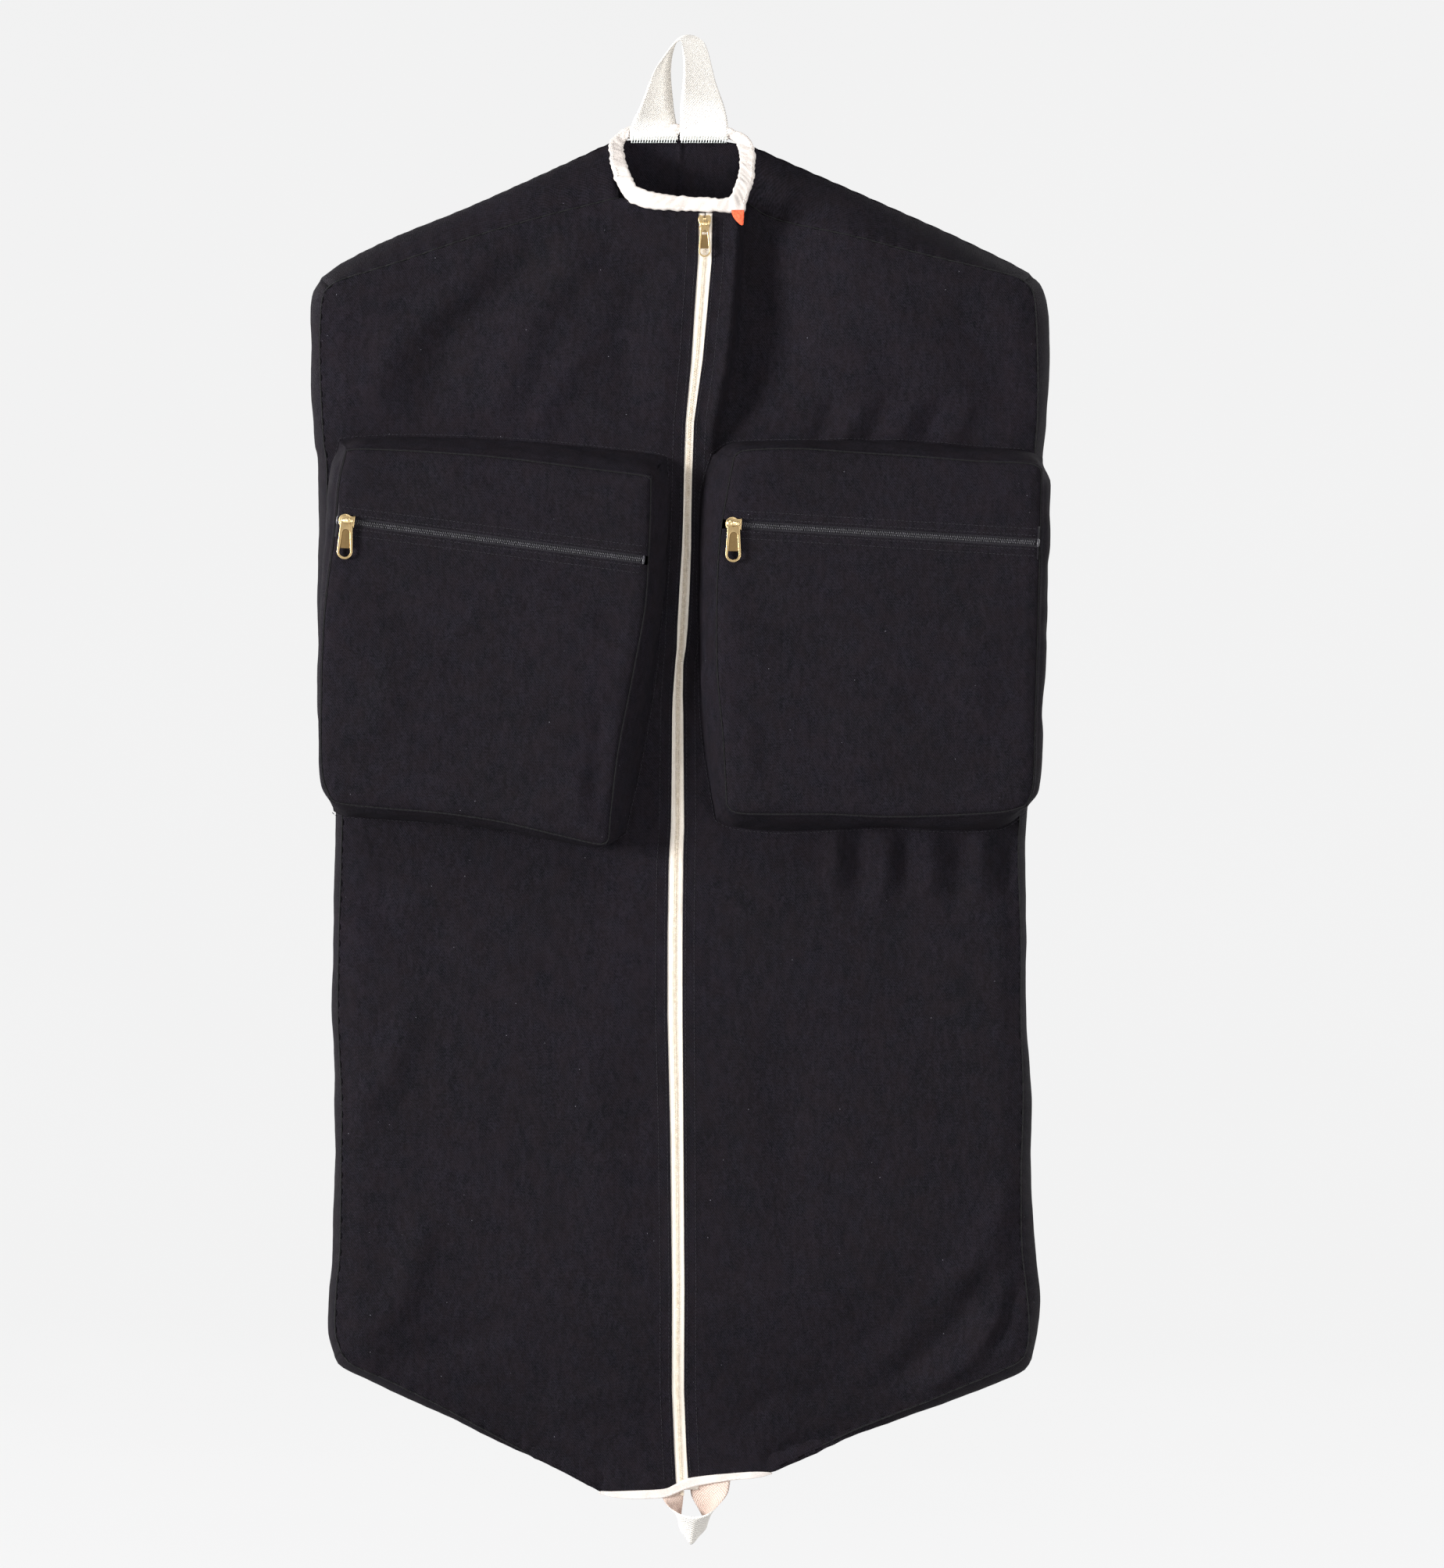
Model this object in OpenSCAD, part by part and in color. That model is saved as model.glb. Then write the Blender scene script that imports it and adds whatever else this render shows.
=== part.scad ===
// Long hanging garment bag: a gusseted cloth shell with a centre zip, two boxed front
// pockets, webbing loops at the neck and the base, and brass zip sliders.
// Origin: inner top of the hanging loop. +X to the wearer-side right as seen from the
// front, +Y towards the back of the bag, +Z up.

/* [Shell] */
// Half width at the shoulder tips
tip_half_w = 305; // [290:1:320]
// Half width below the pockets
hem_half_w = 288; // [280:1:289]
// Depth of the shell from front cloth to back cloth
shell_d = 56; // [50:1:62]
// Thickness of the cloth
cloth_t = 1.2; // [1:0.1:1.3]
// Outer face of the back cloth
back_y = 14; // [10:1:18]
// Height of the lower corners
corner_z = -1098; // [-1120:1:-1080]
// Height of the base edge
base_z = -1192; // [-1210:1:-1190]
// Height of the fold line under the pockets
fold_z = -680; // [-685:1:-676]
// Clear gap that the two halves keep at the fold
fold_gap = 0.8; // [0.6:0.1:1.2]

/* [Neck] */
// Half width of the neck binding
neck_half_w = 58; // [56:1:60]
// Height of the neck's back edge
neck_back_z = -71; // [-76:1:-69]
// Height of the neck's front edge
neck_front_z = -136.5; // [-137:0.5:-130]
// Visible width of the binding
binding_w = 13.5; // [12:0.5:15]
// Thickness of each layer of binding
binding_t = 1.6; // [1.2:0.1:2]

/* [Webbing] */
// Width of the webbing
web_w = 38; // [34:1:39]
// Thickness of the webbing
web_t = 1.8; // [1.4:0.1:2.2]

/* [Zips] */
// Visible width of the main zip
zip_gap_w = 11; // [10:0.5:13]
// Visible width of a pocket zip
pocket_gap_w = 7.6; // [7.2:0.2:9]
// Thickness of a zip tape
tape_t = 0.7; // [0.5:0.1:0.9]
// Clear gap between the two coils
coil_gap = 1.8; // [1.6:0.1:2.2]
// Width of one coil
coil_w = 2.4; // [2:0.1:2.6]
// Height of a coil above its tape
coil_h = 1.8; // [1.4:0.1:2]

/* [Pockets] */
// How far the pockets stand out from the front cloth
pocket_d = 38; // [34:1:42]

/* [Sliders] */
// Width of a slider across its zip
slider_w = 10.4; // [10:0.2:10.6]
// Length of the main slider
main_slider_l = 14; // [12:0.5:15]
// Length of a pocket slider
pocket_slider_l = 11; // [10:0.5:12]
// Length of the main puller below its pivot
main_puller_l = 27; // [24:1:30]
// Length of a pocket puller below its pivot
pocket_puller_l = 31; // [28:1:34]
// Thickness of the pullers
puller_t = 1.6; // [1.2:0.1:1.8]

/* [Hidden] */
$fn = 48;

LEFT = -1;
RIGHT = 1;
far = 2000;
cloth = "#26232b";
natural = "#ebdcc8";
webbing = "#eee4d4";
brass = "#8a6a3c";

front_y = back_y - shell_d;
front_in_y = front_y + cloth_t;
back_in_y = back_y - cloth_t;
pocket_y = front_y - pocket_d;

// Outline of the shell's right side, from the neck down to the base
neck_corner = [neck_half_w, -87];
shoulder_end = [tip_half_w - 14, -199];
shoulder_tip = [tip_half_w, -222];
waist = [hem_half_w, -700];
lower_corner = [hem_half_w, corner_z];
base_corner = [75, base_z];
side_line = [shoulder_end, shoulder_tip, [tip_half_w, -250], waist, lower_corner];
front_neck = [neck_half_w, neck_front_z - 1];

// Main zip: a straight line from the neck to the base, a little off vertical
zip_top = [21, -151.5];
zip_foot = [2, -1184];
zip_l = norm(zip_foot - zip_top);
zip_tilt = atan2(zip_top[0] - zip_foot[0], zip_top[1] - zip_foot[1]);
slider_start = 8;
tape_w = 14;

// Pocket outlines on the front, and the two ends of each pocket's zip
pocket_outline_left = [
    [-271, -347], [-21.5, -368], [-38, -535], [-57, -663], [-282, -636], [-286, -475]
];
pocket_outline_right = [
    [44, -351], [294.5, -359.5], [290.5, -488], [283.5, -635.5], [38, -641], [31, -500], [34, -410]
];
pocket_zip_left = [[-274, -404.8], [-32, -436.4]];
pocket_zip_right = [[38.5, -407.6], [287.5, -422.8]];
pocket_slider_start = 0.5;

function pocket_outline(side) = side == LEFT ? pocket_outline_left : pocket_outline_right;
function pocket_zip(side) = side == LEFT ? pocket_zip_left : pocket_zip_right;
function pocket_zip_l(side) = norm(pocket_zip(side)[1] - pocket_zip(side)[0]);
// Slope of a pocket zip in degrees, below zero where it falls to the right
function zip_rise(side) = let (run = pocket_zip(side)[1] - pocket_zip(side)[0]) atan2(run[1], run[0]);
function unit(v) = v / norm(v);
function turned(v) = [-v[1], v[0]];
function wrapped(p, i) = p[(i + len(p)) % len(p)];
function backwards(p) = [for (i = [len(p) - 1:-1:0]) p[i]];
function sided(p, side) = [for (q = p) [side * q[0], q[1]]];
// The direction that moves both edges at a corner by the same distance
function mitre(a, b) = let (m = unit(a + b)) m / (m * a);
function edge_normal(p, i) = turned(unit(p[i + 1] - p[i]));
function open_mitre(p, i) =
    i == 0 ? edge_normal(p, 0) :
    i == len(p) - 1 ? edge_normal(p, i - 1) :
    mitre(edge_normal(p, i - 1), edge_normal(p, i));
function loop_mitre(p, i) = mitre(
    turned(unit(wrapped(p, i) - wrapped(p, i - 1))),
    turned(unit(wrapped(p, i + 1) - wrapped(p, i)))
);
function shifted_line(p, d) = [for (i = [0:len(p) - 1]) p[i] + d * open_mitre(p, i)];
function shifted_loop(p, d) = [for (i = [0:len(p) - 1]) p[i] + d * loop_mitre(p, i)];

// Stands a flat X-Z shape up between two depths
module slab(y0, y1) {
    translate([0, y1, 0]) rotate([90, 0, 0]) linear_extrude(y1 - y0) children();
}

// A band of cloth seen edge on, along an outline, from one depth to another
module band(line, thickness, y0, y1) {
    slab(y0, y1) polygon(concat(line, backwards(shifted_line(line, thickness))));
}

module above_fold() {
    intersection() {
        children();
        translate([-far, -far, fold_z + fold_gap / 2]) cube([2 * far, 2 * far, far]);
    }
}

module below_fold() {
    intersection() {
        children();
        translate([-far, -far, fold_z - fold_gap / 2 - far]) cube([2 * far, 2 * far, far]);
    }
}

// The frame of the main zip: local -Z runs down the zip, x = 0 is its middle
module on_main_zip() {
    translate([zip_top[0], 0, zip_top[1]]) rotate([0, zip_tilt, 0]) children();
}

// The frame of a pocket zip: local +X runs along the zip from its left end
module on_pocket_zip(side) {
    start = pocket_zip(side)[0];
    translate([start[0], 0, start[1]]) rotate([0, -zip_rise(side), 0]) children();
}

module back_panel(side) {
    top = [[0, neck_back_z - 2], [neck_half_w - 14, neck_back_z - 2]];
    line = concat(top, [neck_corner], side_line, [base_corner, [0, base_z]]);
    color(cloth) slab(back_in_y, back_y) polygon(sided(line, side));
}

module front_panel(side) {
    top = [[0, neck_front_z - 2], [neck_half_w - 8, neck_front_z - 2]];
    line = concat(top, [front_neck], side_line, [base_corner, [0, base_z]]);
    shift = zip_gap_w / 2;
    color(cloth) difference() {
        slab(front_y, front_in_y) polygon(concat(
            sided(line, side),
            [[-side * 60, base_z], [-side * 60, neck_front_z - 2]]
        ));
        on_main_zip()
            translate([side == RIGHT ? shift - far : -shift, -far, -far])
                cube([far, 2 * far, 2 * far]);
    }
}

module side_gusset(side) {
    line = sided(side_line, side);
    color(cloth) band(line, -side * cloth_t, front_in_y, back_in_y);
}

// The shoulder's cloth rises from the front seam to the higher back seam
module shoulder_gusset(side) {
    start = neck_half_w + 0.3;
    end = shoulder_end[0] - 1;
    front = [[start, front_in_y, front_neck[1] - 1], [end, front_in_y, shoulder_end[1] - 1]];
    back = [[start, back_in_y, neck_corner[1] - 1], [end, back_in_y, shoulder_end[1] - 1]];
    top = [front[0], front[1], back[1], back[0]];
    low = [for (p = top) p - [0, 0, cloth_t]];
    points = [for (p = concat(low, top)) [side * p[0], p[1], p[2]]];
    faces = [
        [0, 1, 2], [0, 2, 3], [4, 6, 5], [4, 7, 6],
        [0, 5, 1], [0, 4, 5], [1, 6, 2], [1, 5, 6],
        [2, 7, 3], [2, 6, 7], [3, 4, 0], [3, 7, 4]
    ];
    color(cloth) polyhedron(points, side == RIGHT ? faces : [for (f = faces) backwards(f)]);
}

module bottom_gusset(side) {
    line = sided([lower_corner - [1.4, 0.6], base_corner], side);
    color(cloth) band(line, -side * cloth_t, front_in_y, back_in_y);
}

// A lip in front of a cloth edge, a fold over its top and, where there is room, a lip behind
module bar_binding(half_w, top_z, y0, y1, back_lip) {
    difference() {
        translate([-half_w, y0 - binding_t, top_z - binding_w])
            cube([2 * half_w, y1 - y0 + binding_t + back_lip, binding_w]);
        translate([-far, y0, top_z - 2 - far]) cube([2 * far, y1 - y0, far]);
    }
}

module neck_binding() {
    bar_half_w = neck_half_w - 8;
    strip_t = 2.4;
    lip = 1;
    color(webbing) {
        bar_binding(bar_half_w, neck_front_z, front_y, front_in_y, binding_t);
        bar_binding(bar_half_w, neck_back_z, back_in_y, back_y, 0);
        for (x = [-neck_half_w, neck_half_w - binding_w])
            hull() {
                translate([x, front_in_y + binding_t - lip, neck_front_z - 3])
                    cube([binding_w, lip, strip_t]);
                translate([x, back_in_y - binding_t, neck_back_z - 6])
                    cube([binding_w, lip, strip_t]);
            }
    }
}

// A flat strap swept along a route; each row of the route is a centre point and the
// direction across the strap there
module strap(route, width, thickness) {
    n = len(route);
    ring = [
        for (i = [0:n - 1])
            let (
                ahead = unit(route[min(i + 1, n - 1)][0] - route[max(i - 1, 0)][0]),
                slant = route[i][1],
                across = unit(slant - (slant * ahead) * ahead),
                out = cross(ahead, across),
                a = across * width / 2,
                b = out * thickness / 2,
                c = route[i][0]
            )
            [c - a - b, c + a - b, c + a + b, c - a + b]
    ];
    points = [for (r = ring) each r];
    sides = [
        for (i = [0:n - 2]) for (k = [0:3])
            let (a = 4 * i + k, b = 4 * i + (k + 1) % 4)
            each [[a, b + 4, b], [a, a + 4, b + 4]]
    ];
    last = 4 * (n - 1);
    caps = [[0, 1, 2], [0, 2, 3], [last + 2, last + 1, last], [last + 3, last + 2, last]];
    polyhedron(points, concat(sides, caps));
}

// Catmull-Rom curve through hand-placed stations [x, y, z, turn across]
function between(p, i, t) =
    let (
        a = p[max(i - 1, 0)],
        b = p[i],
        c = p[i + 1],
        d = p[min(i + 2, len(p) - 1)]
    )
    0.5 * (2 * b + (c - a) * t + (2 * a - 5 * b + 4 * c - d) * t * t
        + (3 * b - a - 3 * c + d) * t * t * t);
function smooth(p, steps) = concat(
    [for (i = [0:len(p) - 2]) for (k = [0:steps - 1]) between(p, i, k / steps)],
    [p[len(p) - 1]]
);

// Hanging loop: both ends lie side by side, and the strap turns edge-on at its top
loop_y = back_in_y - web_t / 2 - binding_t - 0.3;
hanging_stations = [
    [-22, loop_y, -86, 0], [-22, loop_y, -76, 0], [-22, loop_y, -70, 0],
    [-21.5, loop_y - 0.5, -63, 10], [-18, loop_y - 2, -50, 46],
    [-13, 6, -24, 75], [-8.5, 1, -10, 84], [-3, 0, -1.5, 90], [3, 0, 0.9, 90], [10, 0, -3.5, 70],
    [14.5, 3, -13, 52], [18, 6, -28, 42], [20, loop_y - 2, -53, 20], [20.5, loop_y - 0.5, -62, 7],
    [20.5, loop_y, -70, 0], [20.5, loop_y, -76, 0], [20.5, loop_y, -86, 0]
];

// Carry loop: a plain U whose front edge splays outwards
carry_y = front_y + shell_d / 2;
carry_stations = [
    [-6, carry_y, base_z - 2.8, 66], [-5.5, carry_y - 1, base_z - 14, 70], [-1, carry_y - 2, base_z - 32, 80],
    [9.5, carry_y - 2, base_z - 42, 90], [20, carry_y - 2, base_z - 33, 105],
    [25, carry_y - 1, base_z - 15, 125], [26, carry_y, base_z - 2.8, 140]
];

module hanging_loop() {
    route = [
        for (s = smooth(hanging_stations, 4))
            [[s[0], s[1], s[2]], [cos(s[3]), sin(s[3]), 0]]
    ];
    color(webbing) strap(route, web_w, web_t);
}

module carry_loop() {
    steep = 32;
    route = [
        for (s = smooth(carry_stations, 4))
            let (low = sin(180 * (s[0] - carry_stations[0][0]) / 32))
            [[s[0], s[1], s[2]], [cos(s[3]), sin(s[3]), -low * sin(steep)]]
    ];
    color(webbing) strap(route, web_w - 4, web_t);
}

module neck_tag() {
    color("#e15a3c") slab(front_y - 0.8, front_y)
        polygon([[42.7, -161], [53, -160.5], [53, -150], [42.7, -150]]);
}

module main_zip_tape(side) {
    inner = side * coil_gap / 2;
    end = 0.5;
    color(natural) on_main_zip()
        translate([side == LEFT ? inner - tape_w : inner, front_in_y, -zip_l])
            cube([tape_w, tape_t, zip_l + end]);
}

module main_zip_coil(side) {
    inner = side * coil_gap / 2;
    end = 3;
    color(natural) on_main_zip()
        translate([side == LEFT ? inner - coil_w : inner, front_in_y - coil_h, -zip_l + end])
            cube([coil_w, coil_h, zip_l - 2 * end]);
}

module main_zip_top_stops() {
    color(brass) on_main_zip() for (side = [LEFT, RIGHT])
        translate([side * (coil_gap + coil_w) / 2 - coil_w / 2, front_in_y - coil_h, -2.8])
            cube([coil_w, coil_h, 2.4]);
}

module main_zip_bottom_stop() {
    half = coil_gap / 2 + coil_w;
    color(brass) on_main_zip() translate([-half, front_in_y - coil_h, -zip_l + 0.3])
        cube([2 * half, coil_h, 2.5]);
}

module bottom_binding() {
    half = base_corner[0];
    lip = 7;
    color(webbing) difference() {
        slab(front_y - binding_t, back_y + binding_t)
            polygon([
                [-half, base_z - 1.6], [half, base_z - 1.6],
                [half, base_z + lip], [-half, base_z + lip]
            ]);
        slab(front_y, back_y)
            polygon([[-far, base_z], [far, base_z], [far, base_z + far], [-far, base_z + far]]);
    }
}

// The pocket front, cut along its zip into a top and a bottom piece
module pocket_front(side, part) {
    half = pocket_gap_w / 2;
    color(cloth) intersection() {
        slab(pocket_y, pocket_y + cloth_t) polygon(pocket_outline(side));
        on_pocket_zip(side)
            translate([-far, -far, part == "top" ? half : -half - 2 * far])
                cube([2 * far, 2 * far, 2 * far]);
    }
}

module pocket_gusset(side) {
    line = pocket_outline(side);
    color(cloth) slab(pocket_y + cloth_t, front_y) difference() {
        polygon(line);
        polygon(shifted_loop(line, -cloth_t));
    }
}

module pocket_zip_tape(side, part) {
    width = 11;
    inner = coil_gap / 2;
    color("#2b2930") on_pocket_zip(side)
        translate([0, pocket_y + cloth_t, part == "top" ? inner : -inner - width])
            cube([pocket_zip_l(side), tape_t, width]);
}

module pocket_zip_coil(side, part) {
    inner = coil_gap / 2;
    color("#2b2930") on_pocket_zip(side)
        translate([0, pocket_y + cloth_t - coil_h, part == "top" ? inner : -inner - coil_w])
            cube([pocket_zip_l(side), coil_h, coil_w]);
}

module pocket_zip_stops(side) {
    half = coil_gap / 2 + coil_w;
    color("#2b2930") on_pocket_zip(side) for (x = [-2, pocket_zip_l(side)])
        translate([x, pocket_y + cloth_t - coil_h, -half]) cube([2, coil_h, 2 * half]);
}

// Slider lying along +X with its face at depth 0 looking to -Y: a front plate and a
// back plate held together by one thin post that runs between the coils
module slider_body(length, y_face) {
    plate_t = 1.5;
    gap = 0.4;
    post_t = 1;
    coil_front = y_face - coil_h;
    tape_back = y_face + tape_t;
    color(brass) {
        slab(coil_front - gap - plate_t, coil_front - gap) slider_outline(length);
        slab(tape_back + gap, tape_back + gap + plate_t) slider_outline(length);
        slab(coil_front - gap - 0.1, tape_back + gap + 0.1)
            translate([length / 2 - 4, -post_t / 2]) square([3, post_t]);
    }
}

module slider_outline(length) {
    w = slider_w;
    polygon([
        [-length / 2, -w * 0.34], [-length / 2 + 3, -w / 2], [length / 2 - 3, -w / 2],
        [length / 2, -w * 0.34], [length / 2, w * 0.34], [length / 2 - 3, w / 2],
        [-length / 2 + 3, w / 2], [-length / 2, w * 0.34]
    ]);
}

// Depth of a slider's front plate for a tape whose front lies at y_face
function slider_front(y_face) = y_face - coil_h - 0.4 - 1.5;

// Main slider: two ears carry a cross pin for the puller
main_pivot_y = slider_front(front_in_y) - 2.4;
main_pivot_z = -slider_start - 1;
pin_r = 0.9;
eye_r = 1.25;

module main_slider_body() {
    on_main_zip() translate([0, 0, -slider_start]) rotate([0, -90, 0])
        slider_body(main_slider_l, front_in_y);
}

module main_slider_crown() {
    ear_t = 1.2;
    ear_x = 3.2;
    face = slider_front(front_in_y);
    color(brass) on_main_zip() {
        for (side = [LEFT, RIGHT])
            translate([side * ear_x - ear_t / 2, main_pivot_y - 1.6, main_pivot_z - 2.2])
                cube([ear_t, face - main_pivot_y + 1.6, 4.4]);
        translate([-ear_x, main_pivot_y, main_pivot_z]) rotate([0, 90, 0])
            cylinder(h = 2 * ear_x, r = pin_r);
    }
}

// A drop-shaped plate in the X-Z plane, hanging from its eye, with a hole at its foot
module puller_plate(length, top_w, foot_w) {
    foot_z = -length + foot_w / 2;
    difference() {
        union() {
            translate([0, puller_t / 2, 0]) rotate([90, 0, 0]) cylinder(h = puller_t, r = top_w / 2);
            translate([0, puller_t / 2, foot_z]) rotate([90, 0, 0]) cylinder(h = puller_t, r = foot_w / 2);
            slab(-puller_t / 2, puller_t / 2) polygon([
                [-top_w / 2, 0], [top_w / 2, 0], [foot_w / 2, foot_z], [-foot_w / 2, foot_z]
            ]);
        }
        translate([0, puller_t, foot_z]) rotate([90, 0, 0]) cylinder(h = 2 * puller_t, r = foot_w * 0.22);
    }
}

// The main puller hangs from a short barrel round the cross pin
module main_puller() {
    barrel_w = 4.6;
    barrel_r = 2;
    neck_l = 6;
    color(brass) on_main_zip() translate([0, main_pivot_y, main_pivot_z]) difference() {
        union() {
            translate([-barrel_w / 2, 0, 0]) rotate([0, 90, 0]) cylinder(h = barrel_w, r = barrel_r);
            translate([-barrel_w / 2, -puller_t / 2, -neck_l]) cube([barrel_w, puller_t, neck_l]);
            translate([0, 0, -neck_l]) puller_plate(main_puller_l - neck_l, 7, 10.4);
        }
        translate([-barrel_w, 0, 0]) rotate([0, 90, 0]) cylinder(h = 2 * barrel_w, r = eye_r);
    }
}

// Pocket sliders: a round post with a cap, so that the puller swings across the front
post_r = 1.5;
post_eye_r = 1.8;
cap_t = 1;
puller_gap = 0.35;
pocket_tape_y = pocket_y + cloth_t;
pocket_puller_y = slider_front(pocket_tape_y) - puller_gap - puller_t / 2;

module on_pocket_slider(side) {
    on_pocket_zip(side) translate([pocket_slider_start + pocket_slider_l / 2, 0, 0]) children();
}

module pocket_slider_body(side) {
    on_pocket_slider(side) rotate([0, 180, 0]) slider_body(pocket_slider_l, pocket_tape_y);
}

module pocket_slider_crown(side) {
    face = slider_front(pocket_tape_y);
    stem = puller_t + 2 * puller_gap;
    color(brass) on_pocket_slider(side) {
        translate([0, face, 0]) rotate([90, 0, 0]) cylinder(h = stem, r = post_r);
        translate([0, face - stem, 0]) rotate([90, 0, 0]) cylinder(h = cap_t, r = 3);
    }
}

module pocket_puller(side) {
    color(brass) on_pocket_slider(side) rotate([0, zip_rise(side), 0])
        translate([0, pocket_puller_y, 0]) difference() {
            puller_plate(pocket_puller_l, 9.6, 12.6);
            translate([0, puller_t, 0]) rotate([90, 0, 0]) cylinder(h = 2 * puller_t, r = post_eye_r);
        }
}

above_fold() back_panel(LEFT);  // back_panel_left_upper
above_fold() back_panel(RIGHT);  // back_panel_right_upper
above_fold() front_panel(LEFT);  // front_panel_left_upper
above_fold() front_panel(RIGHT);  // front_panel_right_upper
shoulder_gusset(LEFT);  // shoulder_gusset_left
shoulder_gusset(RIGHT);  // shoulder_gusset_right
above_fold() side_gusset(LEFT);  // side_gusset_left_upper
above_fold() side_gusset(RIGHT);  // side_gusset_right_upper
neck_binding();
hanging_loop();
neck_tag();
above_fold() main_zip_tape(LEFT);  // main_zip_tape_left_upper
above_fold() main_zip_tape(RIGHT);  // main_zip_tape_right_upper
above_fold() main_zip_coil(LEFT);  // main_zip_coil_left_upper
above_fold() main_zip_coil(RIGHT);  // main_zip_coil_right_upper
main_zip_top_stops();
pocket_front(LEFT, "top");  // left_pocket_front_top
pocket_front(LEFT, "bottom");  // left_pocket_front_bottom
pocket_gusset(LEFT);  // left_pocket_gusset
pocket_zip_tape(LEFT, "top");  // left_pocket_zip_tape_top
pocket_zip_tape(LEFT, "bottom");  // left_pocket_zip_tape_bottom
pocket_zip_coil(LEFT, "top");  // left_pocket_zip_coil_top
pocket_zip_coil(LEFT, "bottom");  // left_pocket_zip_coil_bottom
pocket_zip_stops(LEFT);  // left_pocket_zip_stops
pocket_front(RIGHT, "top");  // right_pocket_front_top
pocket_front(RIGHT, "bottom");  // right_pocket_front_bottom
pocket_gusset(RIGHT);  // right_pocket_gusset
pocket_zip_tape(RIGHT, "top");  // right_pocket_zip_tape_top
pocket_zip_tape(RIGHT, "bottom");  // right_pocket_zip_tape_bottom
pocket_zip_coil(RIGHT, "top");  // right_pocket_zip_coil_top
pocket_zip_coil(RIGHT, "bottom");  // right_pocket_zip_coil_bottom
pocket_zip_stops(RIGHT);  // right_pocket_zip_stops
below_fold() back_panel(LEFT);  // back_panel_left_lower
below_fold() back_panel(RIGHT);  // back_panel_right_lower
below_fold() front_panel(LEFT);  // front_panel_left_lower
below_fold() front_panel(RIGHT);  // front_panel_right_lower
below_fold() side_gusset(LEFT);  // side_gusset_left_lower
below_fold() side_gusset(RIGHT);  // side_gusset_right_lower
bottom_gusset(LEFT);  // bottom_gusset_left
bottom_gusset(RIGHT);  // bottom_gusset_right
bottom_binding();
carry_loop();
below_fold() main_zip_tape(LEFT);  // main_zip_tape_left_lower
below_fold() main_zip_tape(RIGHT);  // main_zip_tape_right_lower
below_fold() main_zip_coil(LEFT);  // main_zip_coil_left_lower
below_fold() main_zip_coil(RIGHT);  // main_zip_coil_right_lower
main_zip_bottom_stop();
main_slider_body();
main_slider_crown();
main_puller();
pocket_slider_body(LEFT);  // left_slider_body
pocket_slider_crown(LEFT);  // left_slider_crown
pocket_puller(LEFT);  // left_puller
pocket_slider_body(RIGHT);  // right_slider_body
pocket_slider_crown(RIGHT);  // right_slider_crown
pocket_puller(RIGHT);  // right_puller
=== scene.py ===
from math import cos, pi, radians, sin

import bmesh
import bpy
import numpy as np
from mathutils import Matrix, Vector
from mathutils.geometry import convex_hull_2d


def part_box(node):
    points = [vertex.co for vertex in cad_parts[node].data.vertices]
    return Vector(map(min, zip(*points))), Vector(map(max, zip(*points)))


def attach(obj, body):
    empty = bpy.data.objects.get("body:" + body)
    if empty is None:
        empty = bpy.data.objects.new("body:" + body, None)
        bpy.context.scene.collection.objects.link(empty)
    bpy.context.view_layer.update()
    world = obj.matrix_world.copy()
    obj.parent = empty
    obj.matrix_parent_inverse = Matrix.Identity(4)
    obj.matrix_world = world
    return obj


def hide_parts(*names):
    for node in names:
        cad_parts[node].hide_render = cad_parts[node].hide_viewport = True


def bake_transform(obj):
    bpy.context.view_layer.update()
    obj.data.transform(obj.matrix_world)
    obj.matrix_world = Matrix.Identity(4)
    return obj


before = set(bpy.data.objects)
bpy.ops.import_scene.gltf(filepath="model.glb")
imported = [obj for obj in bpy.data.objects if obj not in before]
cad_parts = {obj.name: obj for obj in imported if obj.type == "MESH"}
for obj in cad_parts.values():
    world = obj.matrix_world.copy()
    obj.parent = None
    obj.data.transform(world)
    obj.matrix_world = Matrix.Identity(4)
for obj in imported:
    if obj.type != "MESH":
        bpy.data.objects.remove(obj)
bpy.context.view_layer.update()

# Lengths in this script are in millimetres until a mesh is made; +Z is up and the bag's
# front faces -Y. The bag hangs, so its top is near z = 0 and its base near z = -1200.
MM = 0.001
LEFT = -1
RIGHT = 1

# Depths that the CAD frame gives
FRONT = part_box("front_panel_left_upper")[0].y / MM
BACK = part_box("back_panel_left_upper")[1].y / MM
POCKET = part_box("left_pocket_front_top")[0].y / MM
MIDDLE = (FRONT + BACK) / 2
FOLD = (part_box("front_panel_left_upper")[0].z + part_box("front_panel_left_lower")[1].z) / 2 / MM

# The camera stands level in front of the bag
EYE_X = 35.0
EYE_Y = -3200.0
EYE_Z = -618.0
VIEW_HEIGHT = 1300.0
SENSOR = 36.0

# How finely curves, seams and noise are worked out
CURVE_STEPS = 12
FINE_CURVE = 600
SEAM_SAMPLES = 900
WAVE_LAYERS = 7
FAR_AWAY = 1e9

# Thicknesses of cloth, the pitch and size of the zips' teeth, and the way the front faces
CANVAS_THICK = 1.0
MAIN_TAPE_THICK = 0.55
POCKET_TAPE_THICK = 0.5
MAIN_TOOTH_PITCH = 1.4
MAIN_TOOTH = (2.7, 0.85, 1.3)
POCKET_TOOTH_PITCH = 1.45
POCKET_TOOTH = (2.5, 0.95, 1.7)
FORWARD = np.array([0.0, -1.0, 0.0])


# ---------------------------------------------------------------- curves and fields

def from_eye(points, depth):
    """Where points that line up with (x, z) on the plane y = 0 lie at another depth."""
    p = np.array(points, float)
    share = (depth - EYE_Y) / -EYE_Y
    x = EYE_X + (p[:, 0] - EYE_X) * share
    z = EYE_Z + (p[:, 1] - EYE_Z) * share
    return np.column_stack([x, z])


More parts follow.
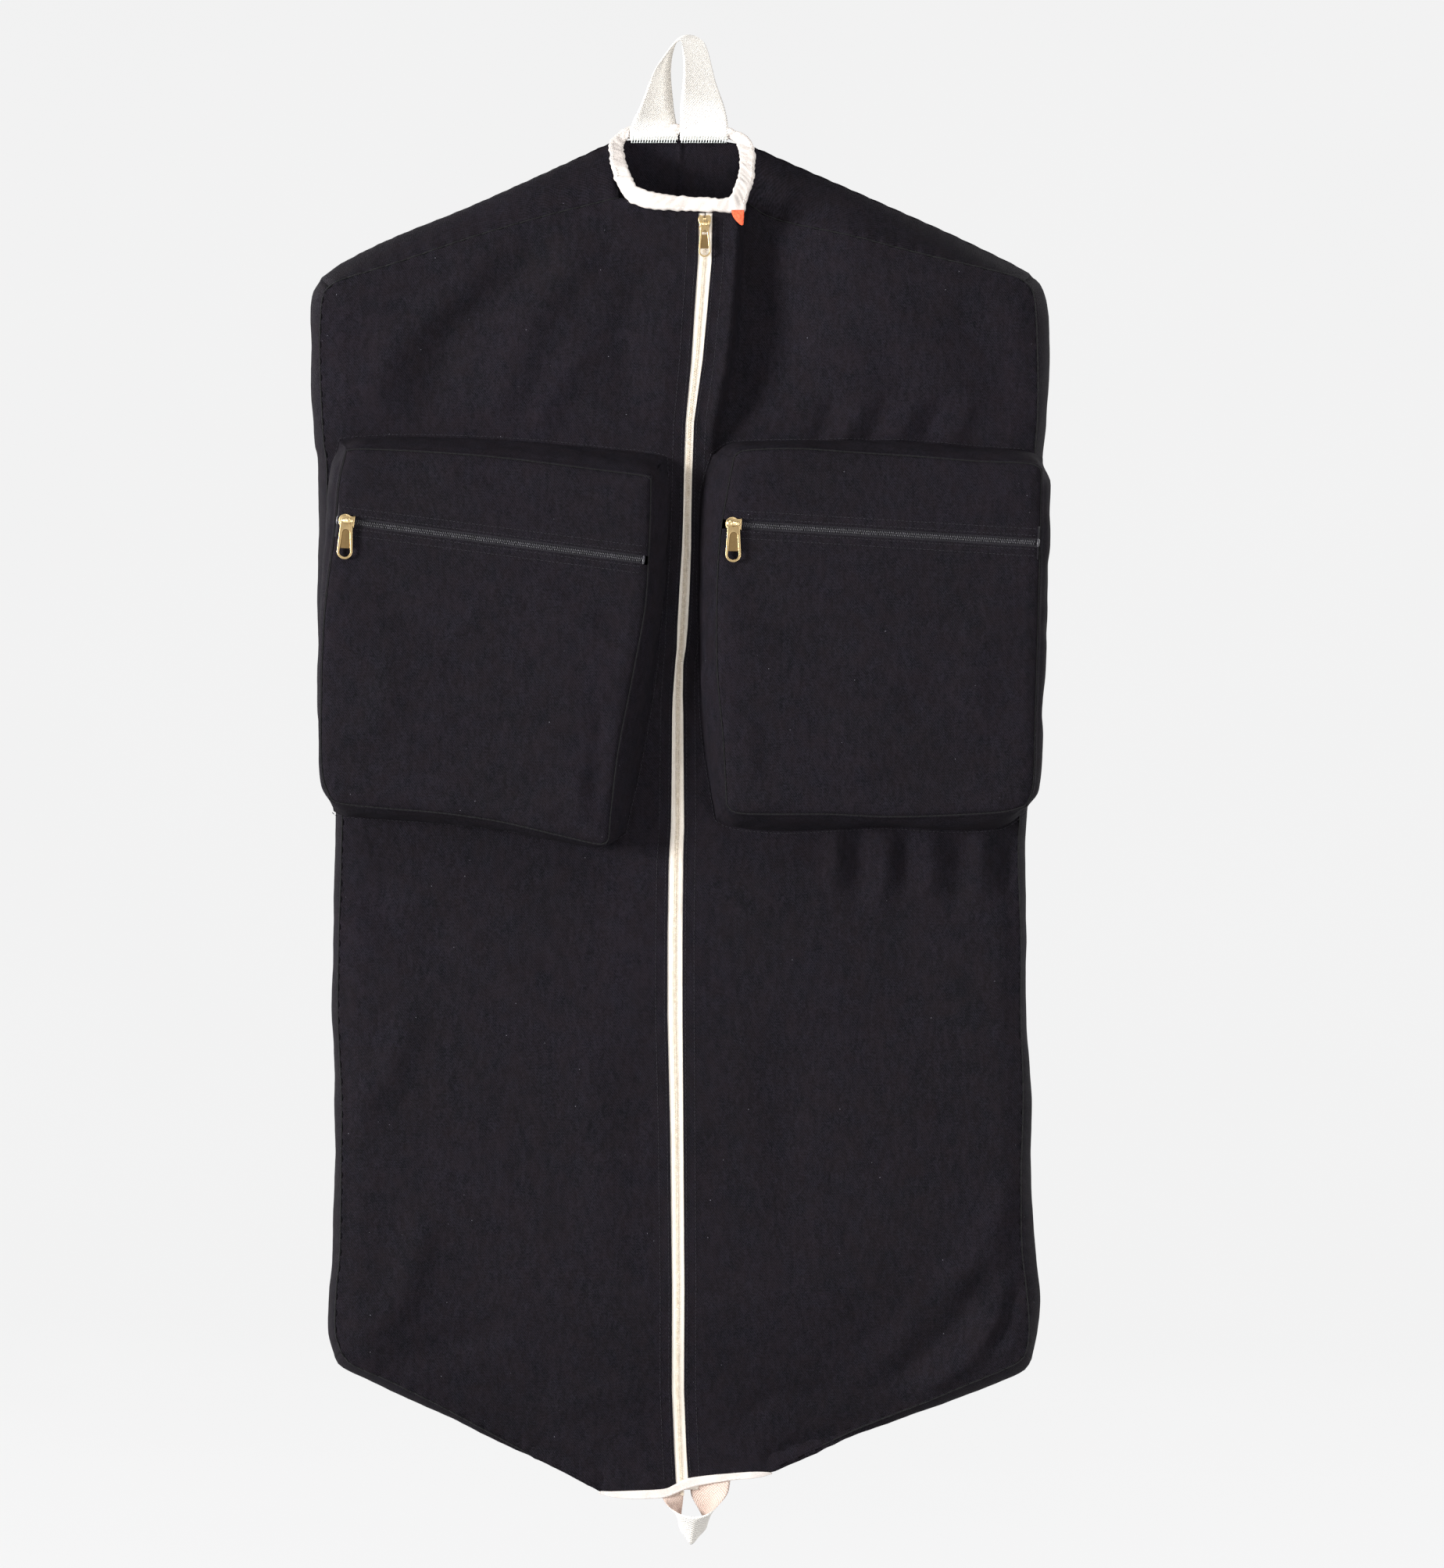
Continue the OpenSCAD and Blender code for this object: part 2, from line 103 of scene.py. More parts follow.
def smooth(t):
    """0 to 1 with a soft start and end."""
    t = np.clip(t, 0, 1)
    return t * t * (3 - 2 * t)


def ramp(value, low, high):
    """0 below low, 1 above high, smooth between them (low may be the larger)."""
    return smooth((np.asarray(value, float) - low) / (high - low))


def lengths(points):
    steps = np.linalg.norm(np.diff(points, axis=0), axis=1)
    return np.concatenate([[0], np.cumsum(steps)])


def unit(vectors):
    """The same directions, each 1 long."""
    return vectors / np.linalg.norm(vectors, axis=-1, keepdims=True)


def together(*parts):
    """Joins x, y, z (or u, v) arrays of any matching shapes into points."""
    return np.stack(np.broadcast_arrays(*parts), axis=-1).astype(float)


def sample(line, run, places):
    """The points of a line at some places along it; run holds its lengths."""
    return np.column_stack([np.interp(places, run, column) for column in line.T])


def even(points, count):
    """The line with count points spaced evenly along it."""
    p = np.array(points, float)
    run = lengths(p)
    return sample(p, run, np.linspace(0, run[-1], count))


def rounded(points, count):
    """A smooth curve through the points, spaced evenly."""
    p = np.array(points, float)
    q = np.vstack([2 * p[0] - p[1], p, 2 * p[-1] - p[-2]])
    t = np.linspace(0, 1, CURVE_STEPS, endpoint=False)[:, None]
    pieces = [0.5 * (2 * b + (c - a) * t + (2 * a - 5 * b + 4 * c - d) * t ** 2
                     + (3 * b - a - 3 * c + d) * t ** 3)
              for a, b, c, d in zip(q, q[1:], q[2:], q[3:])]
    return even(np.vstack(pieces + [p[-1:]]), count)


def at_fractions(points, fractions):
    """A smooth curve through the points, sampled at fractions of its length."""
    p = rounded(points, FINE_CURVE)
    run = lengths(p)
    return sample(p, run, np.asarray(fractions) * run[-1])


def waves(x, z, seed, size):
    """Smooth noise of about -1 to 1 whose bumps are about size across."""
    rng = np.random.RandomState(seed)
    total = np.zeros(np.broadcast(x, z).shape)
    for _ in range(WAVE_LAYERS):
        turn = rng.uniform(0, pi)
        pitch = size * rng.uniform(0.7, 1.6) * 2
        phase = rng.uniform(0, 2 * pi)
        total = total + np.sin((x * cos(turn) + z * sin(turn)) * 2 * pi / pitch + phase)
    return total / WAVE_LAYERS ** 0.5 / 1.4


def crease(x, z, points, height, width, ends=0.25):
    """A soft ridge along a line: height at its middle, fading over its ends."""
    p = np.array(points, float)
    run = lengths(p)
    best = np.full(np.broadcast(x, z).shape, FAR_AWAY)
    along = np.zeros_like(best)
    for start, step, before in zip(p, np.diff(p, axis=0), run):
        size = np.hypot(*step)
        t = np.clip(((x - start[0]) * step[0] + (z - start[1]) * step[1]) / size ** 2, 0, 1)
        away = np.hypot(x - start[0] - t * step[0], z - start[1] - t * step[1])
        near = away < best
        best = np.where(near, away, best)
        along = np.where(near, (before + t * size) / run[-1], along)
    fade = smooth(along / ends) * smooth((1 - along) / ends)
    return height * np.exp(-(best / width) ** 2) * fade


def creases(x, z, folds, scale=1.0):
    """Many soft ridges, each given as its line, height and width."""
    return sum(scale * crease(x, z, line, high, wide) for line, high, wide in folds)


# ---------------------------------------------------------------- meshes

def new_object(name, mesh, material):
    piece = bpy.data.objects.new(name, mesh)
    bpy.context.scene.collection.objects.link(piece)
    mesh.materials.append(material)
    return piece


def mesh_piece(name, points, faces, material, uv=None):
    """points in mm; uv in mm of cloth, one pair for each point."""
    mesh = bpy.data.meshes.new(name)
    mesh.from_pydata([tuple(p * MM) for p in np.asarray(points, float)], [], faces)
    if uv is not None:
        layer = mesh.uv_layers.new(name="UVMap")
        index = np.zeros(len(mesh.loops), dtype=int)
        mesh.loops.foreach_get("vertex_index", index)
        layer.data.foreach_set("uv", (np.asarray(uv, float)[index] * MM).ravel())
    mesh.polygons.foreach_set("use_smooth", [True] * len(mesh.polygons))
    mesh.update()
    return new_object(name, mesh, material)


def grid_faces(rows, columns, round_rows=False, round_columns=False, flip=False):
    faces = []
    for i in range(rows if round_rows else rows - 1):
        for j in range(columns if round_columns else columns - 1):
            a = i * columns + j
            b = i * columns + (j + 1) % columns
            c = ((i + 1) % rows) * columns + (j + 1) % columns
            d = ((i + 1) % rows) * columns + j
            faces.append((a, d, c, b) if flip else (a, b, c, d))
    return faces


def tube_faces(rows, columns, flip=False):
    """The faces of a tube with a flat cap at both ends."""
    last = (rows - 1) * columns
    return grid_faces(rows, columns, round_columns=True, flip=flip) + [
        tuple(range(columns)), tuple(reversed(range(last, last + columns)))]


def grid_piece(name, grid, material, uv, flip=False, **closed):
    rows, columns = grid.shape[:2]
    faces = grid_faces(rows, columns, flip=flip, **closed)
    return mesh_piece(name, grid.reshape(-1, 3), faces, material, uv.reshape(-1, 2))


def cloth(name, grid, material, uv, flip=False, thickness=CANVAS_THICK, **closed):
    """A grid with a thickness that grows behind its faces, baked into its mesh."""
    piece = grid_piece(name, grid, material, uv, flip, **closed)
    solid = piece.modifiers.new("thickness", "SOLIDIFY")
    solid.thickness = thickness * MM
    solid.offset = -1.0
    solid.use_even_offset = False
    bpy.context.view_layer.update()
    done = piece.evaluated_get(bpy.context.evaluated_depsgraph_get())
    mesh = bpy.data.meshes.new_from_object(done)
    piece.modifiers.clear()
    piece.data = mesh
    return piece


def face_outwards(piece, weld=None):
    """Turns every face outwards; weld joins points that are that close, in metres."""
    shell = bmesh.new()
    shell.from_mesh(piece.data)
    if weld:
        bmesh.ops.remove_doubles(shell, verts=shell.verts, dist=weld)
    bmesh.ops.recalc_face_normals(shell, faces=shell.faces)
    shell.to_mesh(piece.data)
    shell.free()


def edge_steps(length, step, first=(0.0, 0.5, 1.0, 1.6, 2.4, 3.4, 4.8, 6.6, 9.0)):
    """Fractions along a cloth edge of some length: fine at both ends, even between."""
    ends = np.array(first)
    inner = np.linspace(ends[-1], length - ends[-1], max(3, int((length - 2 * ends[-1]) / step)))
    return np.concatenate([ends[:-1], inner, (length - ends[:-1])[::-1]]) / length


def coons(left, right, top, bottom, down, over):
    """Fills a grid between four edges. left and right run down, top and bottom run from
    left to right, and they meet at the corners. down and over are the fractions that the
    rows and columns stand at."""
    u, v = down[:, None, None], over[None, :, None]
    across = (1 - v) * left[:, None] + v * right[:, None]
    down_run = (1 - u) * top[None] + u * bottom[None]
    corners = ((1 - u) * ((1 - v) * left[0] + v * right[0])
               + u * ((1 - v) * left[-1] + v * right[-1]))
    return across + down_run - corners


def merge(name, parts, material):
    """One piece from many (points, faces) parts, mapped as it is seen from the front."""
    faces, count = [], 0
    for part_points, part_faces in parts:
        faces.extend(tuple(i + count for i in face) for face in part_faces)
        count += len(part_points)
    points = np.vstack([part[0] for part in parts])
    return mesh_piece(name, points, faces, material, points[:, [0, 2]])


def capsule(sides=6):
    """A unit capsule along X: rings of radius r at place t, both to be scaled."""
    ring = [(-0.5, 0.35), (-0.38, 0.85), (0.0, 1.0), (0.38, 0.85), (0.5, 0.35)]
    turn = np.arange(sides) * 2 * pi / sides
    points = [(t, r * cos(a), r * sin(a)) for t, r in ring for a in turn]
    return np.array(points), tube_faces(len(ring), sides)


CAPSULE = capsule()


def dash(centre, along, up, length, width, height):
    """A small rounded bar: a stitch or a zip tooth."""
    along = unit(np.array(along, float))
    side = unit(np.cross(up, along))
    up = np.cross(along, side)
    points, faces = CAPSULE
    local = points * [length, width / 2, height / 2]
    return np.array(centre, float) + local @ np.array([along, side, up]), faces


def stitch_row(line, pitch=3.3, length=2.5, width=0.62, rise=0.12, up=FORWARD, wobble=0.12):
    """Thread dashes along a 3-D line that lies on the cloth."""
    line = np.asarray(line, float)
    run = lengths(line)
    count = max(2, int(run[-1] / pitch))
    parts = []
    for n in range(count):
        s = (n + 0.5) * run[-1] / count
        a, b = sample(line, run, [s - length / 2, s + length / 2])
        if np.linalg.norm(b - a) < 0.4 * length:
            continue
        sway = np.cross(b - a, up) / length * wobble * sin(n * 2.4)
        parts.append(dash((a + b) / 2 + up * rise + sway, b - a, up, length, width, width))
    return parts


# ---------------------------------------------------------------- materials

class Nodes:
    """A short way to write a material's node tree."""

    def __init__(self, name):
        self.material = bpy.data.materials.new(name)
        self.material.use_nodes = True
        self.tree = self.material.node_tree
        self.shader = self.tree.nodes["Principled BSDF"]

    def add(self, kind, settings=None, **inputs):
        node = self.tree.nodes.new(kind)
        for key, value in (settings or {}).items():
            setattr(node, key, value)
        for key, value in inputs.items():
            self.put(node, key, value)
        return node

    def put(self, node, key, value):
        names = {i.name.replace(" ", "_"): i for i in node.inputs}
        socket = node.inputs[int(key[1:])] if key[1:].isdigit() else names[key]
        if isinstance(value, bpy.types.NodeSocket):
            self.tree.links.new(value, socket)
        else:
            socket.default_value = value

    def math(self, how, a, b=0.0):
        return self.add("ShaderNodeMath", {"operation": how}, _0=a, _1=b).outputs[0]

    def plus(self, a, b):
        return self.math("ADD", a, b)

    def times(self, a, b):
        return self.math("MULTIPLY", a, b)

    def mix(self, share, a, b):
        node = self.add("ShaderNodeMix", {"data_type": "RGBA"})
        self.put(node, "_0", share)
        self.put(node, "_6", a)
        self.put(node, "_7", b)
        return node.outputs[2]

    def noise(self, where, size, detail=2.0, rough=0.5):
        """Noise whose bumps are about size metres across."""
        node = self.add("ShaderNodeTexNoise", Vector=where, Scale=1 / size, Detail=detail,
                        Roughness=rough)
        return node.outputs["Fac"]

    def map(self, value, low, high, to_low, to_high):
        node = self.add("ShaderNodeMapRange", _0=value, _1=low, _2=high, _3=to_low, _4=to_high)
        return node.outputs[0]

    def spread(self, noise, to_low, to_high):
        """Noise, which mostly lies between 0.3 and 0.7, spread between two values."""
        return self.map(noise, 0.3, 0.7, to_low, to_high)

    def bump(self, height, strength, distance):
        node = self.add("ShaderNodeBump", Height=height, Strength=strength, Distance=distance)
        return node.outputs[0]

    def uv(self):
        both = self.add("ShaderNodeSeparateXYZ", Vector=self.add("ShaderNodeUVMap").outputs[0])
        return both.outputs[0], both.outputs[1]

    def place(self):
        return self.add("ShaderNodeTexCoord").outputs["Object"]

    def finish(self, colour, rough, normal=None, **constants):
        self.put(self.shader, "Base_Color", colour)
        self.put(self.shader, "Roughness", rough)
        if normal is not None:
            self.put(self.shader, "Normal", normal)
        for key, value in constants.items():
            self.put(self.shader, key, value)
        return self.material


def rgb(red, green, blue):
    """A colour given in screen values from 0 to 255, as the linear colour that nodes use."""
    linear = [c / 255 / 12.92 if c <= 10 else ((c / 255 + 0.055) / 1.055) ** 2.4
              for c in (red, green, blue)]
    return (*linear, 1.0)


def canvas_material(name, light, dark, warm):
    """Near-black twill: fine diagonal ribs, worn lighter here and there, a little lint."""
    thread = 0.0019
    n = Nodes(name)
    u, v = n.uv()
    where = n.place()
    sway = n.times(n.noise(where, 0.02), 0.0006)
    diagonal = n.plus(n.plus(u, n.times(v, 0.8)), sway)
    rib = n.math("SINE", n.times(diagonal, 2 * pi / thread))
    weft = n.math("SINE", n.times(v, 2 * pi / (thread * 0.62)))
    weave = n.plus(n.times(rib, 0.7), n.times(weft, 0.3))
    slub = n.noise(n.add("ShaderNodeMapping", {"vector_type": "POINT"}, Vector=where,
                         Scale=(1.0, 1.0, 0.4)).outputs[0], 0.004, 3.0)
    grain = n.noise(where, 0.0012, 2.0, 0.6)
    cloud = n.noise(where, 0.09, 4.0, 0.55)
    share = n.plus(n.spread(cloud, 0.28, 0.55), n.map(weave, -1, 1, -0.3, 0.3))
    share = n.plus(share, n.spread(slub, -0.2, 0.2))
    share = n.plus(share, n.spread(grain, -0.42, 0.42))
    colour = n.mix(share, rgb(*dark), rgb(*light))
    tint = n.map(n.noise(where, 0.016, 4.0, 0.65), 0.35, 0.65, 0.0, 1.0)
    colour = n.mix(n.times(tint, 0.35), colour, rgb(*warm))
    fleck = n.add("ShaderNodeTexVoronoi", Vector=where, Scale=95.0)
    lint = n.map(fleck.outputs["Distance"], 0.035, 0.02, 0.0, 1.0)
    rare = n.math("GREATER_THAN", n.noise(where, 0.03, 0.0), 0.56)
    colour = n.mix(n.times(n.times(lint, rare), 0.5), colour,
                   rgb(150, 148, 158))
    height = n.plus(n.times(weave, 0.5), n.times(grain, 1.1))
    normal = n.bump(height, 0.55, 0.00035)
    return n.finish(colour, n.spread(cloud, 0.82, 0.94), normal,
                    Specular_IOR_Level=0.08)


def tape_material(name, light, dark, rib, across, deep):
    """A woven tape: small ribs across it, in a basket pattern."""
    n = Nodes(name)
    u, v = n.uv()
    where = n.place()
    a = n.math("SINE", n.times(u, 2 * pi / across))
    b = n.math("SINE", n.times(v, 2 * pi / rib))
    weave = n.times(a, b)
    grain = n.noise(where, 0.0011, 3.0, 0.6)
    cloud = n.noise(where, 0.022, 3.0)
    share = n.plus(n.map(weave, -1, 1, 0.05, 0.95), n.spread(grain, -0.15, 0.15))
    share = n.plus(share, n.spread(cloud, -0.12, 0.16))
    colour = n.mix(share, rgb(*dark), rgb(*light))
    height = n.plus(n.times(weave, 0.5), grain)
    return n.finish(colour, 0.88, n.bump(height, 0.7, deep),
                    Specular_IOR_Level=0.2, Sheen_Weight=0.1, Sheen_Roughness=0.5)


def coil_material(name, light, dark, rough):
    """Smooth plastic zip teeth with a little grime between them."""
    n = Nodes(name)
    where = n.place()
    share = n.spread(n.noise(where, 0.003, 3.0), 0.0, 1.0)
    colour = n.mix(share, rgb(*dark), rgb(*light))
    return n.finish(colour, rough, n.bump(n.noise(where, 0.0006, 1.0), 0.2, 0.0001),
                    Specular_IOR_Level=0.45)


def brass_material(name, dark, mid, bright):
    """Aged brass: dark in the hollows, rubbed bright on the edges."""
    n = Nodes(name)
    where = n.place()
    worn = n.add("ShaderNodeNewGeometry").outputs["Pointiness"]
    rubbed = n.map(worn, 0.49, 0.58, 0.0, 1.0)
    blotch = n.map(n.noise(where, 0.0045, 4.0, 0.6), 0.35, 0.7, 0.0, 1.0)
    colour = n.mix(blotch, rgb(*dark), rgb(*mid))
    colour = n.mix(rubbed, colour, rgb(*bright))
    scratch = n.noise(where, 0.0009, 3.0, 0.7)
    rough = n.plus(n.map(blotch, 0, 1, 0.42, 0.28), n.spread(scratch, -0.06, 0.08))
    return n.finish(colour, rough, n.bump(scratch, 0.12, 0.0001), Metallic=1.0)


def plain_cloth_material(name, light, dark, size=0.0012):
    """Thread, tag and other small soft parts."""
    n = Nodes(name)
    where = n.place()
    share = n.spread(n.noise(where, size, 3.0, 0.6), 0.0, 1.0)
    colour = n.mix(share, rgb(*dark), rgb(*light))
    return n.finish(colour, 0.85, n.bump(n.noise(where, size / 2, 2.0), 0.4, 0.0002),
                    Specular_IOR_Level=0.25)


def floor_material():
    """The studio's white, mostly its own light."""
    n = Nodes("studio_white")
    where = n.place()
    share = n.spread(n.noise(where, 0.6, 2.0), 0.0, 1.0)
    colour = n.mix(share, rgb(62, 62, 63), rgb(66, 66, 67))
    n.put(n.shader, "Emission_Color", (1.0, 1.0, 1.0, 1.0))
    return n.finish(colour, 0.9, None, Emission_Strength=0.84, Specular_IOR_Level=0.1)


canvas = canvas_material("black_canvas", (28, 25, 32), (5, 5, 8), (25, 18, 21))
zip_tape = tape_material("natural_zip_tape", (236, 229, 219), (204, 193, 180), 0.0008, 0.0012,
                         0.0003)
zip_coil = coil_material("natural_zip_coil", (228, 218, 203), (198, 183, 160), 0.45)
black_tape = tape_material("black_zip_tape", (36, 33, 40), (14, 13, 16), 0.0008, 0.0012, 0.0003)
black_coil = coil_material("black_zip_coil", (50, 48, 55), (20, 19, 23), 0.35)
binding = tape_material("white_binding", (232, 225, 220), (186, 176, 169), 0.0009, 0.0009,
                        0.00035)
webbing = tape_material("cotton_webbing", (255, 253, 248), (236, 228, 218), 0.0023, 0.0023,
                        0.0009)
# a darker, pinker copy of the webbing: painted shade for the carry loop's inner faces
webbing_painted_shade = tape_material("cotton_webbing_inside", (222, 202, 190), (176, 152, 140),
                               0.0023, 0.0023, 0.0009)
coil_thread = plain_cloth_material("coil_thread", (196, 178, 150), (160, 142, 116))
thread_black = plain_cloth_material("black_thread", (38, 35, 42), (13, 12, 15))
# painted shade: near-black strips that stand in for the shadow in the sunk seams
seam_thread = plain_cloth_material("seam_thread", (9, 8, 10), (3, 3, 4))
thread_white = plain_cloth_material("white_thread", (246, 242, 236), (222, 216, 208))
thread_grey = plain_cloth_material("grey_green_thread", (232, 236, 232), (176, 184, 182))
orange = plain_cloth_material("orange_tag", (236, 108, 70), (206, 72, 44), 0.0016)
brass = brass_material("aged_brass", (104, 80, 48), (146, 118, 76), (226, 202, 154))
brass_dark = brass_material("aged_brass_dark", (70, 54, 34), (104, 84, 56), (150, 124, 84))


# ---------------------------------------------------------------- the shell

# Outlines as they line up from the camera, with (x, z) on the plane y = 0. The front seam
# joins the front panel to the gusset, the rim is the widest part of the gusset, and the
# back seam joins the gusset to the back panel. The three have the same stations.
SHOULDER, SIDE, BASE = 46, 210, 46
SEAM = {
    LEFT: {
        "front": {
            "shoulder": [(-51, -131), (-111, -146), (-173, -164), (-235, -185), (-280, -199),
                         (-291, -205)],
            "side": [(-291, -205), (-297, -216), (-299, -262), (-296, -331), (-293, -360),
                     (-293, -480), (-291, -590), (-281, -631), (-281, -680), (-283, -745),
                     (-284, -810), (-281, -875), (-281, -927), (-282, -1004), (-285, -1037),
                     (-286, -1072), (-281, -1090)],
            "base": [(-281, -1090), (-272, -1100), (-240, -1114), (-205, -1131),
                     (-160, -1153), (-119, -1172), (-92, -1184), (-66, -1197)],
        },
        "rim": {
            "shoulder": [(-52, -104), (-107, -117), (-173, -144), (-240, -171), (-282, -191),
                         (-296, -200)],
            "side": [(-296, -200), (-305, -218), (-306, -258), (-303, -331), (-300, -360),
                     (-300, -480), (-298, -590), (-286, -631), (-286, -680), (-287, -745),
                     (-288, -810), (-286, -875), (-286, -927), (-287, -1004), (-290, -1037),
                     (-291, -1072), (-286, -1094)],
            "base": [(-286, -1094), (-278, -1103), (-242, -1119), (-205, -1136),
                     (-160, -1158), (-119, -1177), (-92, -1189), (-66, -1203)],
        },
        "back": {
            "shoulder": [(-57, -87), (-107, -110), (-181, -143), (-240, -167), (-280, -187),
                         (-294, -198)],
            "side": [(-294, -198), (-303, -215), (-303, -255), (-300, -331), (-297, -360),
                     (-297, -480), (-295, -590), (-284, -631), (-284, -680), (-285, -745),
                     (-286, -810), (-284, -875), (-284, -927), (-285, -1004), (-288, -1037),
                     (-289, -1072), (-284, -1092)],
            "base": [(-284, -1092), (-276, -1101), (-242, -1117), (-205, -1134),
                     (-160, -1156), (-119, -1175), (-92, -1187), (-66, -1201)],
        },
    },
    RIGHT: {
        "front": {
            "shoulder": [(56, -132), (80, -146), (144, -163), (209, -180), (270, -194),
                         (286, -200)],
            "side": [(286, -200), (294, -212), (297, -262), (297, -312), (294, -360),
                     (293, -480), (291, -590), (283, -631), (281, -680), (283, -745),
                     (283, -810), (285, -875), (283, -950), (284, -1004), (288, -1040),
                     (290, -1072), (287, -1092)],
            "base": [(287, -1092), (277, -1100), (227, -1121), (198, -1133), (144, -1152),
                     (125, -1160), (88, -1175), (73, -1183)],
        },
        "rim": {
            "shoulder": [(55, -102), (96, -121), (160, -145), (225, -170), (275, -190),
                         (290, -197)],
            "side": [(290, -197), (302, -213), (306, -258), (304, -312), (300, -360),
                     (299, -480), (297, -590), (289, -640), (286, -680), (287, -745),
                     (288, -810), (291, -875), (291, -950), (294, -1004), (299, -1045),
                     (296, -1072), (291, -1094)],
            "base": [(291, -1094), (280, -1106), (227, -1128), (198, -1139), (144, -1158),
                     (125, -1167), (88, -1183), (74, -1189)],
        },
        "back": {
            "shoulder": [(60, -90), (96, -106), (160, -134), (225, -163), (273, -186),
                         (289, -195)],
            "side": [(289, -195), (301, -211), (303, -258), (301, -312), (297, -360),
                     (296, -480), (294, -590), (286, -636), (284, -680), (285, -745),
                     (285, -810), (288, -875), (288, -950), (290, -1004), (294, -1044),
                     (293, -1072), (289, -1092)],
            "base": [(289, -1092), (278, -1103), (227, -1125), (198, -1136), (144, -1155),
                     (125, -1164), (88, -1180), (74, -1187)],
        },
    },
}


def pinch(x, z):
    """How far a panel is drawn in towards the middle depth near the base."""
    base_line = -1188 + 92 * ramp(np.abs(x), 60, 290)
    near = ramp(z - base_line, 150, 0)
    across = ramp(np.abs(x), 292, 90)
    return near * across


def outline(side, line, depth):
    """A seam from neck to base as (x, z): shoulder, side and base with their own counts."""
    rows = []
    for part, count in (("shoulder", SHOULDER), ("side", SIDE), ("base", BASE)):
        points = from_eye(SEAM[side][line][part], depth)
        drawn_in = depth + (MIDDLE - depth) * pinch(points[:, 0], points[:, 1])
        points = from_eye(SEAM[side][line][part], drawn_in)
        run = rounded(points, count)
        rows.append(run if not rows else run[1:])
    return np.vstack(rows)


ROWS = SHOULDER + SIDE + BASE - 2

# The main zip's centre line, seen by height, and half its visible gap
ZIP_SEEN = [
    (21.4, -146), (20.7, -184), (17.5, -225), (14.3, -266), (8.3, -318), (7, -356), (6.2, -395),
     (5.7, -421), (4.1, -454), (2.4, -486), (1.3, -505), (-0.4, -518), (-1.6, -545), (-1.8, -654),
     (-3.1, -680), (-4, -745), (-4, -810), (-3.2, -860), (-2.5, -907), (-1.3, -1037),
     (-1.5, -1121), (0.5, -1173), (1.9, -1200)]
ZIP_LINE = from_eye(ZIP_SEEN, FRONT + (MIDDLE - FRONT) * pinch(0.0, np.array(ZIP_SEEN)[:, 1]))
ZIP_HALF = from_eye(
    [(5.6, -146), (5.6, -184), (5.2, -225), (4.6, -266), (3.4, -318), (3.3, -395), (4.2, -454),
     (4.3, -486), (3.3, -518), (4.6, -560), (5.2, -635), (6.1, -690), (6.2, -810), (5.4, -907),
     (5.1, -1037), (5, -1194)], FRONT)
ZIP_HALF[:, 0] -= EYE_X * (1 - (FRONT - EYE_Y) / -EYE_Y)


def zip_x(z):
    return np.interp(-np.asarray(z, float), -ZIP_LINE[:, 1], ZIP_LINE[:, 0])


def zip_half(z):
    return np.interp(-np.asarray(z, float), -ZIP_HALF[:, 1], ZIP_HALF[:, 0])


# Folds, each as its line, height and width: soft diagonal drapes over the chest, wrinkles
# low on both sides, and long waves down the back
FRONT_FOLDS = [
    ([(-60, -160), (-120, -230), (-150, -330)], 2.2, 17),
    ([(-95, -165), (-185, -250), (-215, -335)], -2.6, 20),
    ([(-140, -185), (-235, -260), (-262, -330)], 1.8, 15),
    ([(-20, -170), (-45, -250), (-40, -335)], -2.0, 18),
    ([(-70, -255), (-105, -300), (-120, -338)], 1.6, 10),
    ([(70, -200), (95, -270), (150, -330)], -2.2, 22),
    ([(150, -205), (205, -270), (235, -335)], 1.8, 20),
    ([(215, -215), (262, -270), (280, -330)], -1.7, 16),
    ([(190, -1128), (240, -1085), (270, -1040)], 2.6, 9),
    ([(165, -1120), (222, -1068), (262, -1005)], -2.4, 11),
    ([(205, -1050), (250, -1000), (280, -930)], 2.0, 14),
    ([(120, -1130), (180, -1080), (205, -1030)], 1.6, 12),
    ([(252, -1090), (268, -1060), (280, -1020)], -2.0, 6),
    ([(-265, -1080), (-225, -1040), (-205, -960)], 1.8, 14),
    ([(-255, -1100), (-180, -1075), (-130, -1060)], -1.6, 12),
    ([(-275, -900), (-240, -860), (-215, -790)], 1.6, 15),
    ([(-120, -1140), (-60, -1120), (-20, -1125)], 1.4, 10),
    ([(-278, -700), (-235, -735), (-175, -745)], -1.8, 14),
    ([(40, -1150), (80, -1120), (140, -1120)], -1.5, 10),
    ([(-70, -800), (-62, -920), (-66, -1040)], 1.2, 22),
    ([(84, -800), (92, -900), (86, -1020)], -1.4, 24),
]
BACK_FOLDS = [
    ([(-40, -120), (-90, -260), (-80, -420)], 2.2, 24),
    ([(50, -120), (110, -250), (120, -380)], -2.0, 24),
    ([(-200, -240), (-160, -380), (-190, -520)], -2.0, 26),
    ([(210, -240), (190, -400), (220, -560)], 2.0, 26),
    ([(-220, -1080), (-120, -1020), (-40, -1010)], 2.2, 18),
    ([(220, -1080), (130, -1000), (60, -980)], -2.0, 20),
]
PLACKET_EDGE = [(52, -128), (51, -144), (49, -162), (43, -250), (39, -280), (28, -330), (25, -352)]


